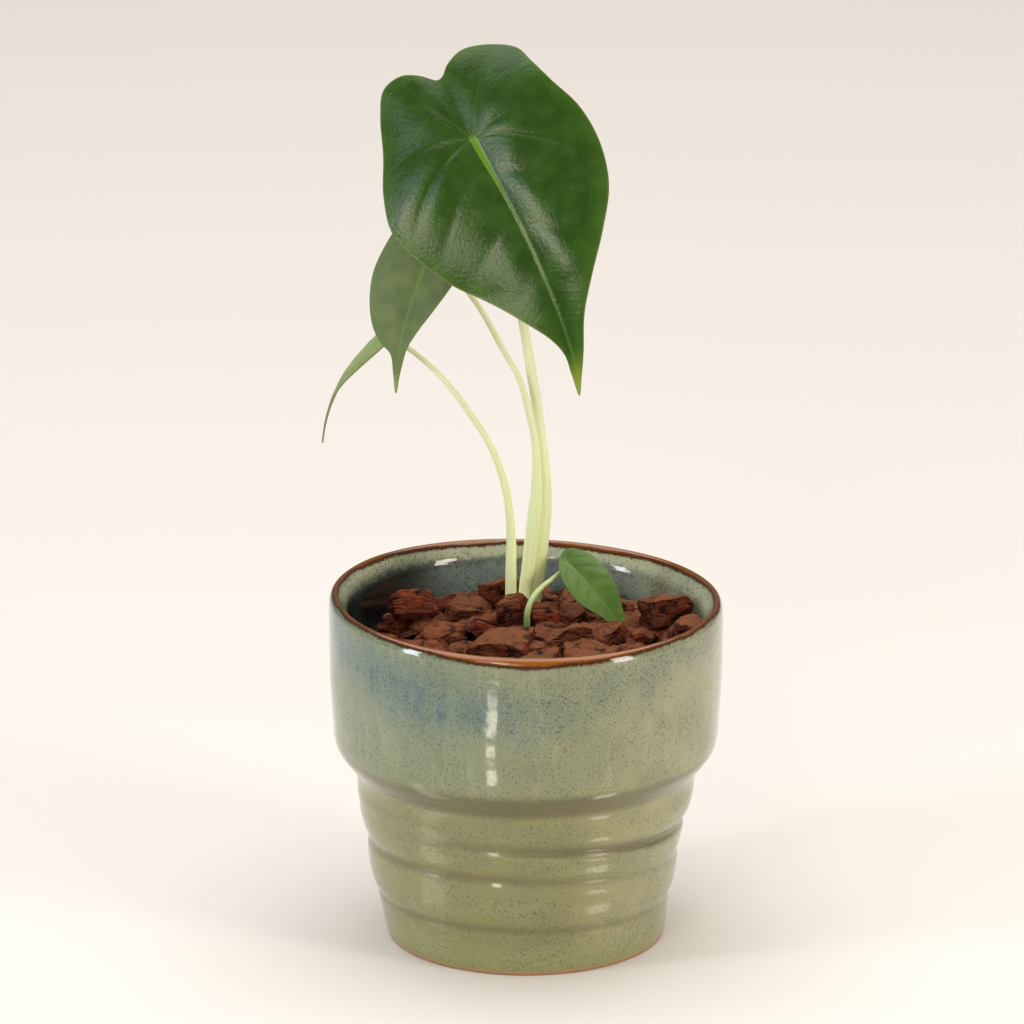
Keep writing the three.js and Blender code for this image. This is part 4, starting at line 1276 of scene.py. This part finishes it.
def softbox(name, place, target, width, height, strength, tint):
    """An area light that looks at the target."""
    clear_selection()
    bpy.ops.object.light_add(type="AREA", location=place)
    lamp = bpy.context.object
    lamp.name = name
    lamp.data.shape = "RECTANGLE"
    lamp.data.size = width
    lamp.data.size_y = height
    lamp.data.energy = strength * width * height
    lamp.data.color = linear(tint)[:3]
    lamp.rotation_euler = (Vector(target) - Vector(place)).to_track_quat("-Z", "Y").to_euler()
    lamp.visible_camera = False


def make_stage(stage):
    floor = primitive("plane", "studio_floor", size=stage.floor_width)
    material, add = new_material("painted_studio_floor", Specular_IOR_Level=0.2, Roughness=0.7)
    place = add("TexCoord", output="Object")
    cloud = add("TexNoise", {"Vector": place, "Scale": 1.5, "Detail": 3})
    paint = add("Mix", {0: cloud, 6: stage.floor, 7: "EBE6DF"}, 2, **COLOURS)
    floor.data.materials.append(finish_material(material, paint))

    world = bpy.data.worlds.new("studio_fill")
    world.use_nodes = True
    fill = world.node_tree.nodes["Background"]
    fill.inputs["Color"].default_value = linear("FFFAF3")
    fill.inputs["Strength"].default_value = stage.sky
    bpy.context.scene.world = world

    for name, place, target, width, height, strength, tint in LIGHTS:
        place, target = Vector(place) * MM, Vector(target) * MM
        strength = getattr(stage, strength)
        softbox(name, place, target, width * MM, height * MM, strength, tint)

    clear_selection()
    pitch = math.radians(PHOTO_PITCH)
    view = Vector((0, math.cos(pitch), -math.sin(pitch)))
    bpy.ops.object.camera_add(location=CAMERA_PLACE)
    camera = bpy.context.object
    camera.name = "photo_camera"
    camera.rotation_euler = view.to_track_quat("-Z", "Y").to_euler()
    camera.data.sensor_width = SENSOR
    camera.data.lens = PHOTO_FOCUS / PHOTO_WIDTH * SENSOR
    camera.data.clip_end = 30
    bpy.context.scene.camera = camera
    bpy.context.scene.view_settings.view_transform = "Standard"


# Operators


class PLANT_OT_pot(bpy.types.Operator):
    """Throw and glaze the pot"""

    bl_idname = "plant.pot"
    bl_label = "Glazed pot"

    def execute(self, context):
        make_pot(context.scene.plant_pot)
        return {"FINISHED"}


class PLANT_OT_bark(bpy.types.Operator):
    """Lay the bark chips, their crumbs and their bed"""

    bl_idname = "plant.bark"
    bl_label = "Bark chips"

    def execute(self, context):
        make_bark(context.scene.plant_bark)
        return {"FINISHED"}


class PLANT_OT_soil(bpy.types.Operator):
    """Finish the potting mix and the corm, whose solids stay as they are"""

    bl_idname = "plant.soil"
    bl_label = "Potting mix and corm"

    def execute(self, context):
        materials = {
            "potting_mix": crumb_material(context.scene.plant_bark),
            "corm": corm_material(),
        }
        for name, material in materials.items():
            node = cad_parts[name]
            node.data.materials.clear()
            node.data.materials.append(material)
        return {"FINISHED"}


class PLANT_OT_blades(bpy.types.Operator):
    """Grow the four blades"""

    bl_idname = "plant.blades"
    bl_label = "Blades"

    def execute(self, context):
        leaf = context.scene.plant_leaf
        under = underside_material(leaf)
        # Each skin's colours, then its midrib's width, vein spacing, roughness and pale veins
        skins = [
            blade_material(leaf, *skin) for skin in (
                ("velvet_leaf_skin", leaf.green, leaf.shade, 2.2, 20, 0.12, 0.05),
                ("grey_velvet_leaf_skin", "66763F", "536434", 1.3, 10.5, 0.5, 0.12),
                # the third blade, seen edge-on, is painted pale grey-green: painted sheen
                ("pale_painted_sheen_leaf_skin", "95A26C", "7F8E58", 1.3, 9, 0.5, 0.15),
                ("young_leaf_skin", leaf.young, "476722", 0.9, 5.5, 0.3, 0.16),
            )
        ]
        for number, skin in enumerate(skins):
            make_blade(number, leaf, [skin, under])
        return {"FINISHED"}


class PLANT_OT_petioles(bpy.types.Operator):
    """Grow the four petioles"""

    bl_idname = "plant.petioles"
    bl_label = "Petioles"

    def execute(self, context):
        stem = context.scene.plant_stem
        material = petiole_material(stem)
        for number in range(len(PETIOLES)):
            make_petiole(number, stem, material)
        return {"FINISHED"}


class PLANT_OT_stage(bpy.types.Operator):
    """Set the floor, the lights and the camera"""

    bl_idname = "plant.stage"
    bl_label = "Stage"

    def execute(self, context):
        make_stage(context.scene.plant_stage)
        return {"FINISHED"}


class PLANT_PT_panel(bpy.types.Panel):
    """Lists the pieces of the plant"""

    bl_idname = "PLANT_PT_panel"
    bl_label = "Potted plant"
    bl_space_type = "VIEW_3D"
    bl_region_type = "UI"
    bl_category = "Plant"

    def draw(self, context):
        for operator in OPERATORS:
            self.layout.operator(operator.bl_idname)


GROUPS = {
    "plant_pot": PlantPot,
    "plant_bark": PlantBark,
    "plant_leaf": PlantLeaf,
    "plant_stem": PlantStem,
    "plant_stage": PlantStage,
}
OPERATORS = [
    PLANT_OT_stage,
    PLANT_OT_pot,
    PLANT_OT_soil,
    PLANT_OT_bark,
    PLANT_OT_blades,
    PLANT_OT_petioles,
]


def register():
    for group in GROUPS.values():
        bpy.utils.register_class(group)
    for name, group in GROUPS.items():
        setattr(bpy.types.Scene, name, PointerProperty(type=group))
    for operator in OPERATORS:
        bpy.utils.register_class(operator)
    bpy.utils.register_class(PLANT_PT_panel)


def unregister():
    bpy.utils.unregister_class(PLANT_PT_panel)
    for operator in reversed(OPERATORS):
        bpy.utils.unregister_class(operator)
    for name in GROUPS:
        delattr(bpy.types.Scene, name)
    for group in reversed(list(GROUPS.values())):
        bpy.utils.unregister_class(group)


def main():
    """Registers the classes and calls the operators in order."""
    register()
    for name in ("stage", "pot", "soil", "bark", "blades", "petioles"):
        getattr(bpy.ops.plant, name)()


if __name__ == "__main__":
    main()
